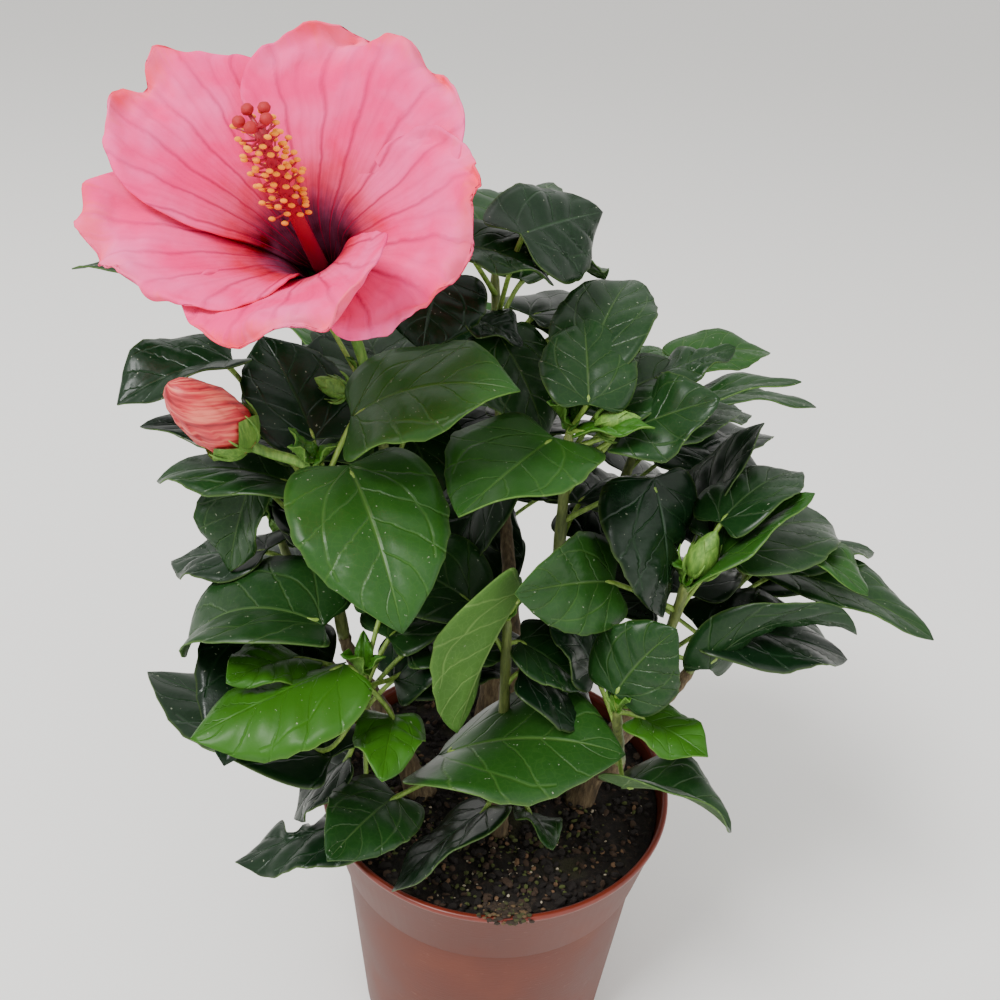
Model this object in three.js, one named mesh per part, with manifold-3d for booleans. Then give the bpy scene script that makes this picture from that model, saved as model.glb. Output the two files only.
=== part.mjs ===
// Hibiscus shrub in its nursery pot: the pot and its soil, five woody stems, the boughs they
// fork into, thirteen leafy shoots, one open flower and one opening bud.
// Millimetres, +Z up, origin on the table under the middle of the pot. -Y is the front.
import * as THREE from 'three';
import Module from 'manifold-3d';

const wasm = await Module();
wasm.setup();
const { Manifold, Mesh: Body } = wasm;

// ---------- driving sizes, in mm; bearings are degrees from +X round to +Y, rises degrees above level
const CLEAR = 0.3;                      // gap between pieces that touch
const SLIVER = 0.02;                    // shorter edges than this are closed up where leaves join
const POT = { height: 115, rim: 65, lip: 1.6, collar: 28, collarFoot: 58.6, step: 1.6,
  base: 49.5, wall: 1.6, floor: 2.2, sides: 32, holes: 6, holeRadius: 4.5, holeCircle: 35 };
const SOIL = { top: 110, edge: 109.2, flat: 50 };
const STEM_SIDES = 7, TWIG_SIDES = 5;
const LEAF = { thick: 1.3, known: [0.07, 0.27, 0.54, 0.81], spiral: [0.08, 0.36, 0.72], lobe: 0.13, petiole: 0.95 };
const PETAL = { throat: 9, thick: 1.3, rows: [0.02, 0.25, 0.5, 0.74, 0.9, 1],
  columns: [-1, -0.5, 0, 0.5, 1], pinwheel: 2.6, ruffle: 3.4 };
const COLUMN = { length: 46, radius: 2.2, bare: 22, stamens: 16, pads: 5 };
const SHOOT_RADIUS = 2.1;
const FAR_SIDE = 0.15;                  // least sine of a spiral leaf's bearing on a shoot with known leaves

// foot on the soil, radius there, fork, radius there
const STEMS = {
  left: { foot: [-28, -6], radius: 4.6, fork: [-42, -9, 150], top: 3.4 },
  centre: { foot: [5, 6], radius: 5.6, fork: [3, 6, 168], top: 4.0 },
  right: { foot: [32, -4], radius: 4.4, fork: [42, -7, 148], top: 3.4 },
  back: { foot: [-5, 36], radius: 4.8, fork: [-3, 45, 158], top: 3.6 },
  front: { foot: [2, -22], radius: 3.4, fork: [2, -27, 139], top: 2.4 },
};

// Each shoot: its stem, where its twig starts and ends, the leaves whose pose is known, and the
// spiral that fills in the others. A known leaf is
// [place along the twig, petiole bearing, rise, length, blade bearing, rise, length, width,
//  droop, roll, fold, twist, age 0 old to 3 new].
const SHOOTS = {
  upper_left: { stem: 'left', off: 1, from: [-54, -14, 186], to: [-59, -28, 254], seed: 11, spiral: 8, turn: 200,
    leaves: [
      [0.9, -35, 44, 19, -62, -11, 53, 43, 42, 4, 1, 4, 2],
      [0.84, -18, 69, 32, -11, 42, 51, 44, 49, 23, -1, -9, 2],
      [0.3, -87, 6, 22, 172, 25, 58, 47, 99, 8, 12, -23, 1],
      [0.55, 156, 34, 33, -130, -62, 33, 30, 17, -5, 18, -4, 1],
      [0.35, 160, 12, 25, 162, -16, 42, 33, 12, 2, -5, -6, 0],
      [0.8, 144, 45, 51, -144, 6, 36, 33, 37, 6, 17, -24, 0],
      [0.7, 109, 61, 26, 133, 48, 38, 36, 20, 0, 8, 0, 0],
      [0.7, 135, 44, 27, -172, 23, 43, 30, 30, 0, 6, 0, 0]] },
  upper_right: { stem: 'centre', off: 0.6, from: [15, -9, 202], to: [14, -14, 266], seed: 12, spiral: 9, turn: 60,
    leaves: [
      [1, -47, 59, 13, 95, 40, 32, 28, 21, 5, 4, -15, 1],
      [0.85, -138, 55, 11, -121, -2, 47, 43, 10, -6, 6, 20, 2],
      [0.9, 3, 24, 16, -19, 36, 32, 29, 9, 14, -1, 40, 1],
      [0.8, 38, 36, 41, 11, 25, 25, 22, 9, -14, -4, 23, 1],
      [0.8, 20, 30, 36, -13, 32, 39, 26, 22, -11, 4, 7, 1],
      [1, -54, 21, 5, -22, 22, 23, 10, 10, 0, 5, 0, 3],
      [0.5, -4, 35, 32, -62, -47, 45, 42, 46, -3, -14, -45, 0]] },
  front: { stem: 'front', from: [2, -27, 139], to: [0, -34, 212], seed: 13, spiral: 7, turn: 200,
    leaves: [
      [0.4, -143, -8, 25, -6, 38, 61, 57, 53, -22, 1, 44, 1],
      [1, -62, 63, 18, -134, -46, 48, 44, 29, 64, 18, 19, 2],
      [0.1, -110, -48, 14, -140, -8, 42, 37, 29, 37, 0, 2, 0],
      [0.16, -21, -61, 24, -73, 38, 27, 15, 34, -19, 5, -4, 1],
      [0.2, -157, -15, 38, -114, 22, 39, 29, 22, -9, 3, -16, 1],
      [0.85, 36, -1, 5, -11, -19, 26, 28, 30, 0, 5, 0, 1],
      [0.6, -32, 64, 11, 6, -24, 35, 34, 30, 10, 5, 0, 0]] },
  lower_left: { stem: 'left', off: 0.45, from: [-46, -24, 154], to: [-42, -44, 194], seed: 14, spiral: 8, turn: 80,
    leaves: [
      [0.8, 47, -16, 12, 30, 49, 37, 34, 11, -1, 0, -15, 0],
      [0.9, -22, -40, 14, -88, 23, 33, 21, 30, -2, -3, -5, 3],
      [0.2, -73, -72, 35, -167, -13, 48, 37, 13, 14, -8, 1, 0],
      [0.3, -135, -69, 16, -171, -40, 34, 30, 30, 0, 5, 0, 0],
      [1, -165, 43, 8, -147, -9, 48, 46, 8, 22, -21, -32, 3],
      [1, 159, -3, 23, -127, 24, 28, 25, 24, 5, 0, -18, 3],
      [0.55, -139, -55, 21, 158, 8, 75, 46, 8, 9, 1, 2, 0]] },
  lower_right: { stem: 'right', off: 0.5, from: [41, -27, 152], to: [36, -40, 184], seed: 15, spiral: 8, turn: 330,
    leaves: [
      [0.8, -115, 66, 18, -6, 72, 31, 29, 22, 64, -10, 10, 1],
      [1, 25, -26, 9, -35, 8, 25, 23, 24, -8, 0, 16, 3],
      [0.3, -87, -20, 14, -13, 27, 40, 36, 79, -34, 21, 23, 1],
      [0.6, 134, 53, 21, 160, 62, 26, 30, 30, 0, 5, 0, 0]] },
  right: { stem: 'right', off: 1, from: [50, -14, 178], to: [54, -22, 220], seed: 16, spiral: 8, turn: 30,
    leaves: [
      [0.9, 41, 33, 8, 10, 58, 44, 34, 29, -25, 6, 20, 2],
      [0.5, 73, 33, 33, 22, 86, 48, 39, 39, -13, 7, -11, 0],
      [0.75, -164, 31, 26, -136, 22, 44, 30, 10, -51, 6, -33, 2],
      [0.3, -24, -3, 16, 8, 69, 56, 23, 106, 97, -23, 43, 1]] },
  flower: { stem: 'centre', off: 0.8, from: [-36, 4, 212], to: [-47, 2, 268], seed: 17, spiral: 9, turn: 20,
    leaves: [
      [0.7, 157, 12, 14, 114, 46, 33, 34, 20, 0, 8, 0, 0],
      [0.9, 152, 53, 49, -169, 5, 65, 28, 15, 0, 8, 0, 1]] },
  tall: { stem: 'centre', off: 1, from: [-4, 20, 222], to: [-12, 28, 300], seed: 18, spiral: 10, turn: 75,
    leaves: [
      [0.8, -78, 50, 46, 51, 5, 38, 35, 8, 26, -16, 31, 0],
      [0.9, -111, 40, 34, -9, 1, 29, 26, 38, 22, 8, -29, 1],
      [0.6, -153, 56, 39, -102, -40, 24, 34, 30, 0, 0, 0, 0],
      [0.3, -104, 76, 40, -43, -36, 36, 36, 30, 0, 0, 0, 1],
      [0.03, -95, 45, 23, -150, -48, 44, 36, 30, 0, 5, 0, 0],
      [0.45, -138, 66, 35, -20, -4, 19, 22, 30, 0, 5, 0, 0]] },
  left: { stem: 'left', off: 0.7, from: [-66, 8, 160], to: [-82, 16, 204], seed: 19, spiral: 7, turn: 130, leaves: [] },
  right_back: { stem: 'right', off: 0.75, from: [68, 14, 160], to: [84, 22, 204], seed: 20, spiral: 8, turn: 20, leaves: [] },
  back_left: { stem: 'back', off: 0.78, from: [-46, 52, 190], to: [-60, 60, 248], seed: 21, spiral: 11, turn: 110, leaves: [] },
  back_right: { stem: 'back', off: 1, from: [34, 50, 190], to: [48, 60, 250], seed: 22, spiral: 11, turn: 70, leaves: [] },
  back_low: { stem: 'back', off: 0.5, from: [-5, 66, 168], to: [-6, 84, 208], seed: 23, spiral: 10, turn: 90, leaves: [] },
};

// Green buds on short stalks: shoot, place along its twig, stalk bearing, rise and length, bud length
const BUDS = [
  { shoot: 'upper_right', at: 1, bearing: -14, rise: 22, stalk: 9, length: 13 },
  { shoot: 'right', at: 1, bearing: 20, rise: 70, stalk: 5, length: 16 },
  { shoot: 'lower_right', at: 1, bearing: 60, rise: 75, stalk: 3, length: 12 },
  { shoot: 'flower', at: 0.9, bearing: -160, rise: 30, stalk: 10, length: 11 },
];
// The open flower stands on the flower shoot, the opening bud on the upper left shoot.
const BLOOM = { seat: [-54, -8, 298], bearing: -102.6, rise: 49.5, columnBearing: -110.8, columnRise: 57.7 };
// A petal: place round the axis, reach, breadth and height of its margin, lift and extra reach of its
// leading side.
const PETALS = [[1.6, 44.4, 50.1, 12, 6.7, 4.1], [76, 53, 54.1, 21.3, -0.4, -0.4],
  [150.2, 56, 41.3, 24.9, 0.9, -4], [213.4, 46.4, 47.8, 24.1, -0.2, -7.1], [289.2, 43.1, 45.8, 28.7, 1.7, 0.5]];
const OPENING = { seat: [-76.6, -28, 261.1], bearing: -156.7, rise: 45.1, length: 29, radius: 8.2 };

const COLOURS = { pot: [0x9a5f4c, 0.6], soil: [0x2b211a, 1], bark: [0x6d5a40, 0.8],
  leaf: [0x2f5d27, 0.35], petal: [0xe8748f, 0.55], bud: [0xd9566b, 0.55] };

// ---------- small helpers
const rad = (d) => (d * Math.PI) / 180;
const vec = (a) => new THREE.Vector3(...a);
const lerp = (a, b, t) => a + (b - a) * t;
const aim = (bearing, rise) => new THREE.Vector3(Math.cos(rad(rise)) * Math.cos(rad(bearing)),
  Math.cos(rad(rise)) * Math.sin(rad(bearing)), Math.sin(rad(rise)));

// The same draws every time for the same seed.
function seeded(seed) {
  let state = seed >>> 0;
  return () => {
    state = (Math.imul(state, 1664525) + 1013904223) >>> 0;
    return state / 4294967296;
  };
}

// A closed body from points and triangles: welded, with its faces turned outward.
function body(points, faces) {
  const index = new Map(), kept = [], place = points.map((p) => {
    const key = p.toArray().map((v) => Math.round(v * 1e4)).join();
    if (!index.has(key)) { index.set(key, kept.length / 3); kept.push(p.x, p.y, p.z); }
    return index.get(key);
  });
  let tris = faces.map((f) => f.map((i) => place[i]))
    .filter(([a, b, c]) => a !== b && b !== c && c !== a);
  const at = (i) => new THREE.Vector3(kept[3 * i], kept[3 * i + 1], kept[3 * i + 2]);
  const volume = tris.reduce((sum, [a, b, c]) => sum + at(a).dot(at(b).cross(at(c))), 0);
  if (volume < 0) tris = tris.map(([a, b, c]) => [a, c, b]);
  return new Manifold(new Body({ numProp: 3, vertProperties: new Float32Array(kept),
    triVerts: new Uint32Array(tris.flat()) }));
}

// Fusing can seal a hollow or part off a scrap: only the one solid piece is kept.
const whole = (solid) => solid.simplify(SLIVER).decompose().reduce((best, piece) => (piece.volume() > best.volume() ? piece : best));

// A closed skin over rings of equal count; both end rings are closed with flat fans.
function skin(rings) {
  const n = rings[0].length, faces = [];
  for (let r = 0; r + 1 < rings.length; r++) {
    for (let i = 0; i < n; i++) {
      const a = r * n + i, b = r * n + ((i + 1) % n);
      faces.push([a, b, b + n], [a, b + n, a + n]);
    }
  }
  const last = (rings.length - 1) * n;
  for (let i = 1; i + 1 < n; i++) faces.push([0, i + 1, i], [last, last + i, last + i + 1]);
  return body(rings.flat(), faces);
}

// A limb of round section along a path, one radius per point; `finish` squares its far end.
function limb(path, radii, sides, finish) {
  let side = null;
  return skin(path.map((p, i) => {
    const last = i === path.length - 1;
    const run = last && finish ? finish : path[last ? i : i + 1].clone().sub(path[Math.max(i - 1, 0)]).normalize();
    if (!side) side = new THREE.Vector3(1, 0, 0).addScaledVector(run, -run.x);
    side.addScaledVector(run, -side.dot(run)).normalize();
    const over = run.clone().cross(side);
    return Array.from({ length: sides }, (_, k) => p.clone()
      .addScaledVector(side, radii[i] * Math.cos((2 * Math.PI * k) / sides))
      .addScaledVector(over, radii[i] * Math.sin((2 * Math.PI * k) / sides)));
  }));
}

// A turned body about an axis from a point: profile of [radius, distance along the axis].
function turned(seat, axis, profile, sides) {
  const side = new THREE.Vector3(-axis.y, axis.x, 0).normalize();
  if (side.lengthSq() < 0.5) side.set(1, 0, 0);
  const over = axis.clone().cross(side);
  return skin(profile.map(([r, h]) => Array.from({ length: sides }, (_, k) => seat.clone()
    .addScaledVector(axis, h)
    .addScaledVector(side, r * Math.cos((2 * Math.PI * k) / sides))
    .addScaledVector(over, r * Math.sin((2 * Math.PI * k) / sides)))));
}

// ---------- leaves
const leafWidth = (s) => (s ** 0.5 * (1 - s) ** 0.95) / (0.345 ** 0.5 * 0.655 ** 0.95);
const leafLag = (s) => LEAF.lobe * (s / 0.09) * Math.exp(1 - s / 0.09);

// The rib bends down evenly along an arc; returns the point, the way across and the way up there.
function ribAt(leaf, s) {
  const b = rad(leaf.bearing), r = rad(leaf.rise), bend = rad(leaf.droop), a = r - bend * s;
  const out = (leaf.length / bend) * (Math.sin(r) - Math.sin(a));
  const rise = (leaf.length / bend) * (Math.cos(a) - Math.cos(r));
  const roll = rad(leaf.roll + leaf.twist * s);
  const across = new THREE.Vector3(-Math.sin(b), Math.cos(b), 0);
  const up = new THREE.Vector3(-Math.sin(a) * Math.cos(b), -Math.sin(a) * Math.sin(b), Math.cos(a));
  return { point: vec(leaf.base).add(new THREE.Vector3(out * Math.cos(b), out * Math.sin(b), rise)),
    across: across.clone().multiplyScalar(Math.cos(roll)).addScaledVector(up, Math.sin(roll)),
    up: up.clone().multiplyScalar(Math.cos(roll)).addScaledVector(across, -Math.sin(roll)) };
}

function bladeAt(leaf, s, u) {
  const { point, across, up } = ribAt(leaf, s - leafLag(s) * u * u);
  const half = (leafWidth(s) * leaf.width) / 2, fold = rad(leaf.fold);
  return point.addScaledVector(across, u * half * Math.cos(fold))
    .addScaledVector(up, Math.abs(u) * half * Math.sin(fold));
}

// A blade is a lens: full thickness along the rib, thin at its margin.
function blade(leaf) {
  const points = [bladeAt(leaf, 0, 0)], faces = [], n = leaf.stations.length;
  for (const s of leaf.stations) {
    const { up } = ribAt(leaf, s), rib = bladeAt(leaf, s, 0);
    points.push(bladeAt(leaf, s, -1), rib.clone().addScaledVector(up, LEAF.thick / 2),
      bladeAt(leaf, s, 1), rib.clone().addScaledVector(up, -LEAF.thick / 2));
  }
  const tip = points.push(bladeAt(leaf, 1, 0)) - 1;
  for (let k = 0; k < 4; k++) {
    const next = (k + 1) % 4;
    faces.push([0, 1 + next, 1 + k], [tip, 1 + (n - 1) * 4 + k, 1 + (n - 1) * 4 + next]);
    for (let i = 0; i + 1 < n; i++) {
      const a = 1 + i * 4;
      faces.push([a + k, a + next, a + 4 + next], [a + k, a + 4 + next, a + 4 + k]);
    }
  }
  return body(points, faces);
}

// ---------- shoots
// The leaves whose pose is known, and the spiral drawn from the shoot's seed, which `step` turns on.
function knownLeaves(shoot) {
  return shoot.leaves.map((row) => leafFrom(shoot, LEAF.known, row));
}

function spiralLeaf(shoot, i, draws, step) {
  const at = lerp(0.12, 0.98, (i + 0.5) / shoot.spiral), turn = shoot.turn + 137.5 * i + 30 * (draws[0] - 0.5) + 40 * step;
  const length = (46 + 18 * draws[1]) * (1 - 0.2 * at);
  return leafFrom(shoot, LEAF.spiral, [at, turn, 20 + 35 * at + 15 * draws[2], 14 + 12 * draws[3], turn + 30 * (draws[4] - 0.5),
    -5 + 35 * at + 20 * (draws[5] - 0.5), length, length * (0.66 + 0.12 * draws[6]), 25 + 30 * draws[7],
    24 * (draws[8] - 0.5), 10 * draws[9], 0, at < 0.5 ? 0 : 1]);
}

function leafFrom(shoot, stations, [at, b, r, stalk, bearing, rise, length, width, droop, roll, fold, twist, age]) {
  const node = vec(shoot.from).lerp(vec(shoot.to), at);
  return { node, stations, base: node.clone().addScaledVector(aim(b, r), stalk).toArray(),
    bearing, rise, length, width, droop, roll, fold, twist, age };
}

// Petiole and blade as one body; the petiole runs from inside the twig into the rib.
function leafBody(leaf) {
  const rib = bladeAt(leaf, 0.12, 0);
  return Manifold.union([blade(leaf),
    limb([leaf.node, vec(leaf.base), rib], [LEAF.petiole, LEAF.petiole, 0.6], 3)]);
}

function budBody(bud) {
  const shoot = SHOOTS[bud.shoot], node = vec(shoot.from).lerp(vec(shoot.to), bud.at);
  const axis = aim(bud.bearing, bud.rise), seat = node.clone().addScaledVector(axis, bud.stalk), L = bud.length;
  return Manifold.union([limb([node, seat.clone().addScaledVector(axis, 2)], [1.1, 1.1], 4),
    turned(seat, axis, [[1.2, 0], [L * 0.25, L * 0.18], [L * 0.27, L * 0.45], [L * 0.16, L * 0.8], [0.5, L]], 6)]);
}

// ---------- flower
// Height and reach of the petals' funnel at t, from the claw in the calyx to the margin.
const FUNNEL = [[0, 3, -16], [0.25, PETAL.throat, 0], [0.5, 23, 10], [0.74, 40, 18.5], [0.9, 51, 23], [1, 57, 23.5]];
function funnel(t) {
  const i = Math.max(1, FUNNEL.findIndex((row) => row[0] >= t)), [t0, r0, h0] = FUNNEL[i - 1], [t1, r1, h1] = FUNNEL[i];
  const k = (t - t0) / (t1 - t0);
  return [lerp(r0, r1, k), lerp(h0, h1, k)];
}

function bloomFrame() {
  const axis = aim(BLOOM.bearing, BLOOM.rise), b = rad(BLOOM.bearing);
  const across = new THREE.Vector3(-Math.sin(b), Math.cos(b), 0);
  return { axis, across, over: axis.clone().cross(across), throat: vec(BLOOM.seat).addScaledVector(axis, 25) };
}

function petalAt(petal, t, u) {
  const { axis, across, over, throat } = bloomFrame(), [baseReach, baseHeight] = funnel(t);
  const [place, margin, broad, rise, lean, side] = PETALS[petal], open = Math.max(0, (t - 0.25) / 0.75);
  const half = broad * t ** 1.15 * Math.sqrt(Math.max(0, 1 - t ** 5)), edge = u * Math.min(1, half / 15);
  const reach = PETAL.throat + ((baseReach - PETAL.throat) * (margin - PETAL.throat)) / 48 + side * edge * open;
  const turn = rad(place) + (u * half) / Math.max(reach, 6);
  const lift = (baseHeight > 0 ? (baseHeight * rise) / 23.5 : baseHeight)
    + (PETAL.pinwheel * Math.min(1, 3 * t) + lean * open * open) * edge
    + PETAL.ruffle * t ** 5 * Math.sin(5 * edge + 2 * petal);
  return throat.clone().addScaledVector(across, reach * Math.cos(turn))
    .addScaledVector(over, reach * Math.sin(turn)).addScaledVector(axis, lift);
}

function petalBody(petal) {
  const { axis } = bloomFrame(), columns = PETAL.columns.length, top = [], under = [];
  for (const t of PETAL.rows) {
    for (const u of PETAL.columns) {
      const p = petalAt(petal, Math.min(t, 0.985), u);
      top.push(p.clone().addScaledVector(axis, PETAL.thick / 2));
      under.push(p.clone().addScaledVector(axis, -PETAL.thick / 2));
    }
  }
  const faces = [], count = top.length, rows = PETAL.rows.length;
  for (let i = 0; i + 1 < rows; i++) {
    for (let j = 0; j + 1 < columns; j++) {
      const a = i * columns + j, b = a + 1, c = a + columns + 1, d = a + columns;
      faces.push([a, b, c], [a, c, d], [a + count, c + count, b + count], [a + count, d + count, c + count]);
    }
  }
  const rim = [];
  for (let j = 0; j < columns; j++) rim.push(j);
  for (let i = 1; i < rows; i++) rim.push(i * columns + columns - 1);
  for (let j = columns - 2; j >= 0; j--) rim.push((rows - 1) * columns + j);
  for (let i = rows - 2; i > 0; i--) rim.push(i * columns);
  rim.forEach((a, k) => {
    const b = rim[(k + 1) % rim.length];
    faces.push([a, a + count, b + count], [a, b + count, b]);
  });
  return body([...top, ...under], faces);
}

function bloomBody() {
  const { axis, throat } = bloomFrame(), shoot = SHOOTS.flower, seat = vec(BLOOM.seat);
  const twigEnd = vec(shoot.to), up = twigEnd.clone().sub(vec(shoot.from)).normalize();
  const foot = twigEnd.addScaledVector(up, CLEAR);
  const parts = [
    limb([foot, foot.clone().addScaledVector(up, 12), seat.clone().addScaledVector(axis, -7), seat.clone().addScaledVector(axis, 3)],
      [1.7, 1.6, 1.7, 2.2], 6),
    turned(seat, axis, [[2.4, 0], [6.5, 4], [8.2, 10], [7.6, 17], [8.4, 22]], 10),
  ];
  for (let k = 0; k < 5; k++) parts.push(petalBody(k));
  // the column: a tube ringed with stamens over its outer half and topped with five pads
  const along = aim(BLOOM.columnBearing, BLOOM.columnRise), foot2 = throat.clone().addScaledVector(axis, -8);
  parts.push(limb([foot2, foot2.clone().addScaledVector(along, COLUMN.length)], [COLUMN.radius, COLUMN.radius * 0.8], 6));
  const side = new THREE.Vector3(-along.y, along.x, 0).normalize(), over = along.clone().cross(side);
  const spoke = (turn) => side.clone().multiplyScalar(Math.cos(turn)).addScaledVector(over, Math.sin(turn));
  for (let k = 0; k < COLUMN.stamens; k++) {
    const out = spoke(2.4 * k), start = foot2.clone().addScaledVector(along, lerp(COLUMN.bare, COLUMN.length - 3, k / COLUMN.stamens));
    const end = start.clone().addScaledVector(out, 5.6).addScaledVector(along, 1.5);
    parts.push(limb([start, end, end.clone().addScaledVector(out, 1.2)], [0.5, 0.8, 0.8], 3));
  }
  for (let k = 0; k < COLUMN.pads; k++) {
    const start = foot2.clone().addScaledVector(along, COLUMN.length - 1), out = spoke((2 * Math.PI * k) / COLUMN.pads);
    const end = start.clone().addScaledVector(out, 3.6).addScaledVector(along, 4);
    parts.push(limb([start, end, end.clone().addScaledVector(along, 1.8)], [0.6, 1.3, 1.1], 4));
  }
  return whole(Manifold.union(parts));
}

function openingBody() {
  const axis = aim(OPENING.bearing, OPENING.rise), seat = vec(OPENING.seat), L = OPENING.length, R = OPENING.radius;
  const shoot = SHOOTS.upper_left, twigEnd = vec(shoot.to), up = twigEnd.clone().sub(vec(shoot.from)).normalize();
  const foot = twigEnd.addScaledVector(up, CLEAR);
  return Manifold.union([
    limb([foot, foot.clone().addScaledVector(up, 5), seat.clone().addScaledVector(axis, -5), seat.clone().addScaledVector(axis, 3)],
      [1.6, 1.5, 1.5, 1.9], 5),
    turned(seat, axis, [[2, 0], [R * 0.72, L * 0.12], [R, L * 0.4], [R * 0.86, L * 0.68], [R * 0.5, L * 0.92], [1, L]], 9)]);
}

// ---------- pot, soil and stems
function potBody() {
  const P = POT, inner = P.wall;
  const profile = [[P.base - 0.8, 0], [P.base, 1], [P.collarFoot - P.step, P.height - P.collar - 0.9],
    [P.collarFoot, P.height - P.collar], [P.rim - 0.7, P.height - P.lip - 0.4], [P.rim, P.height - P.lip],
    [P.rim, P.height - 0.4], [P.rim - 0.5, P.height], [P.rim - 1.6, P.height], [P.rim - 0.7 - inner, P.height - P.lip],
    [P.collarFoot - inner, P.height - P.collar + 0.4], [P.collarFoot - P.step - inner, P.height - P.collar - 1.6],
    [P.base - inner, P.floor]];
  let pot = turned(new THREE.Vector3(), new THREE.Vector3(0, 0, 1), profile, P.sides);
  for (let k = 0; k < P.holes; k++) {
    const turn = (2 * Math.PI * (k + 0.5)) / P.holes;
    pot = pot.subtract(turned(new THREE.Vector3(P.holeCircle * Math.cos(turn), P.holeCircle * Math.sin(turn), -1),
      new THREE.Vector3(0, 0, 1), [[P.holeRadius, 0], [P.holeRadius, P.floor + 2]], 10));
  }
  return pot;
}

function soilBody() {
  const P = POT, inside = P.wall + CLEAR;
  const rise = (SOIL.edge - P.height + P.collar) / P.collar, edge = lerp(P.collarFoot, P.rim - 0.7, rise) - inside - 0.1;
  return turned(new THREE.Vector3(), new THREE.Vector3(0, 0, 1), [[P.base - inside - 0.2, P.floor + CLEAR],
    [P.collarFoot - P.step - inside, P.height - P.collar - 1.3], [P.collarFoot - inside - 0.1, P.height - P.collar + 0.7],
    [edge, SOIL.edge], [SOIL.flat, SOIL.top]], P.sides);
}

// A stem flares at its foot, leans and tapers to a rounded fork.
function stemBody({ foot, radius, fork, top }) {
  const start = new THREE.Vector3(...foot, SOIL.top + CLEAR), end = vec(fork), rise = end.z - start.z;
  const at = (k) => start.clone().lerp(end, k).add(new THREE.Vector3(0, 0, 0));
  const flare = new THREE.Vector3(start.x, start.y, start.z + 0.1 * rise);
  return limb([start, flare, at(0.3), at(0.65), at(1 - (0.6 * top) / rise), at(1 + (0.4 * top) / rise)],
    [radius * 1.5, radius * 1.1, radius, lerp(radius, top, 0.6), top * 1.08, top * 0.7], STEM_SIDES);
}

// A bough leaves its stem's tip, or its side lower down, and bends into the line of its shoot.
// It is slid out until it stands clear of the stem.
function boughBody(shoot, stem) {
  const { foot, fork, radius, top } = STEMS[shoot.stem], low = new THREE.Vector3(...foot, SOIL.top), tip = vec(fork);
  const axis = tip.clone().sub(low).normalize(), end = vec(shoot.from), hub = low.clone().lerp(tip, shoot.off);
  const run = vec(shoot.to).sub(end).normalize(), stop = end.clone().addScaledVector(run, -CLEAR);
  const out = end.clone().sub(hub), far = out.length();
  if (shoot.off < 1) out.addScaledVector(axis, -out.dot(axis)).normalize().addScaledVector(axis, 0.35);
  else out.normalize().add(axis);
  out.normalize();
  const make = (slide) => {
    const start = hub.clone().addScaledVector(out, slide);
    const mid = start.clone().addScaledVector(out, 0.3 * far), back = stop.clone().addScaledVector(run, -0.3 * far);
    const bend = (k) => start.clone().multiplyScalar((1 - k) ** 3).addScaledVector(mid, 3 * k * (1 - k) ** 2)
      .addScaledVector(back, 3 * k * k * (1 - k)).addScaledVector(stop, k ** 3);
    return limb([0, 0.2, 0.4, 0.6, 0.8, 1].map(bend), [2.9, 2.7, 2.6, 2.45, 2.3, SHOOT_RADIUS], STEM_SIDES, run);
  };
  let slide = shoot.off < 1 ? lerp(radius, top, shoot.off) : 0.5 * top, solid = make(slide);
  while (solid.minGap(stem, 2) < CLEAR) solid = make(slide += 0.05);
  return solid;
}

// ---------- the assembly
const shrub = new THREE.Group();
shrub.name = 'hibiscus_shrub';
const placed = [];

function add(name, solid, [colour, roughness]) {
  const mesh = solid.getMesh(), geometry = new THREE.BufferGeometry();
  geometry.setAttribute('position', new THREE.BufferAttribute(new Float32Array(mesh.vertProperties), 3));
  geometry.setIndex(new THREE.BufferAttribute(new Uint32Array(mesh.triVerts), 1));
  const material = new THREE.MeshStandardMaterial({ color: colour, roughness, metalness: 0 });
  const node = new THREE.Mesh(geometry, material);
  node.name = name;
  shrub.add(node);
  placed.push(solid);
}

add('pot', potBody(), COLOURS.pot);
add('soil', soilBody(), COLOURS.soil);
const stems = {};
for (const [name, stem] of Object.entries(STEMS)) add(`stem_${name}`, stems[name] = stemBody(stem), COLOURS.bark);
for (const [name, shoot] of Object.entries(SHOOTS)) {
  if (shoot.off) add(`bough_${name}`, boughBody(shoot, stems[shoot.stem]), COLOURS.bark);
}
add('bloom', bloomBody(), COLOURS.petal);
add('opening_bud', openingBody(), COLOURS.bud);

// Leafy shoots. A known leaf or a bud that would touch another piece is left off. A leaf of the
// spiral is first turned on, three times at most, and is left off when it still touches. On a shoot
// with known leaves the spiral keeps to the far side.
const grown = {}, names = Object.keys(SHOOTS);
for (const name of names) {
  const shoot = SHOOTS[name], start = vec(shoot.from), end = vec(shoot.to), run = end.clone().sub(start).normalize();
  if (!shoot.off) start.addScaledVector(run, 1.9);
  grown[name] = [limb([start, start.clone().lerp(end, 0.5), end], [SHOOT_RADIUS, 1.9, 1.6], TWIG_SIDES)];
}
function grow(name, solid) {
  const clear = (other) => solid.minGap(other, 1) > CLEAR;
  const free = placed.every(clear) && names.every((other) => other === name || grown[other].every(clear));
  if (free) grown[name].push(solid);
  return free;
}
export const log = { left: [], spiral: {} };
for (const name of names) {
  knownLeaves(SHOOTS[name]).forEach((leaf, i) => grow(name, leafBody(leaf)) || log.left.push([name, i]));
}
BUDS.forEach((bud, i) => grow(bud.shoot, budBody(bud)) || log.left.push(['bud', i]));
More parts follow.
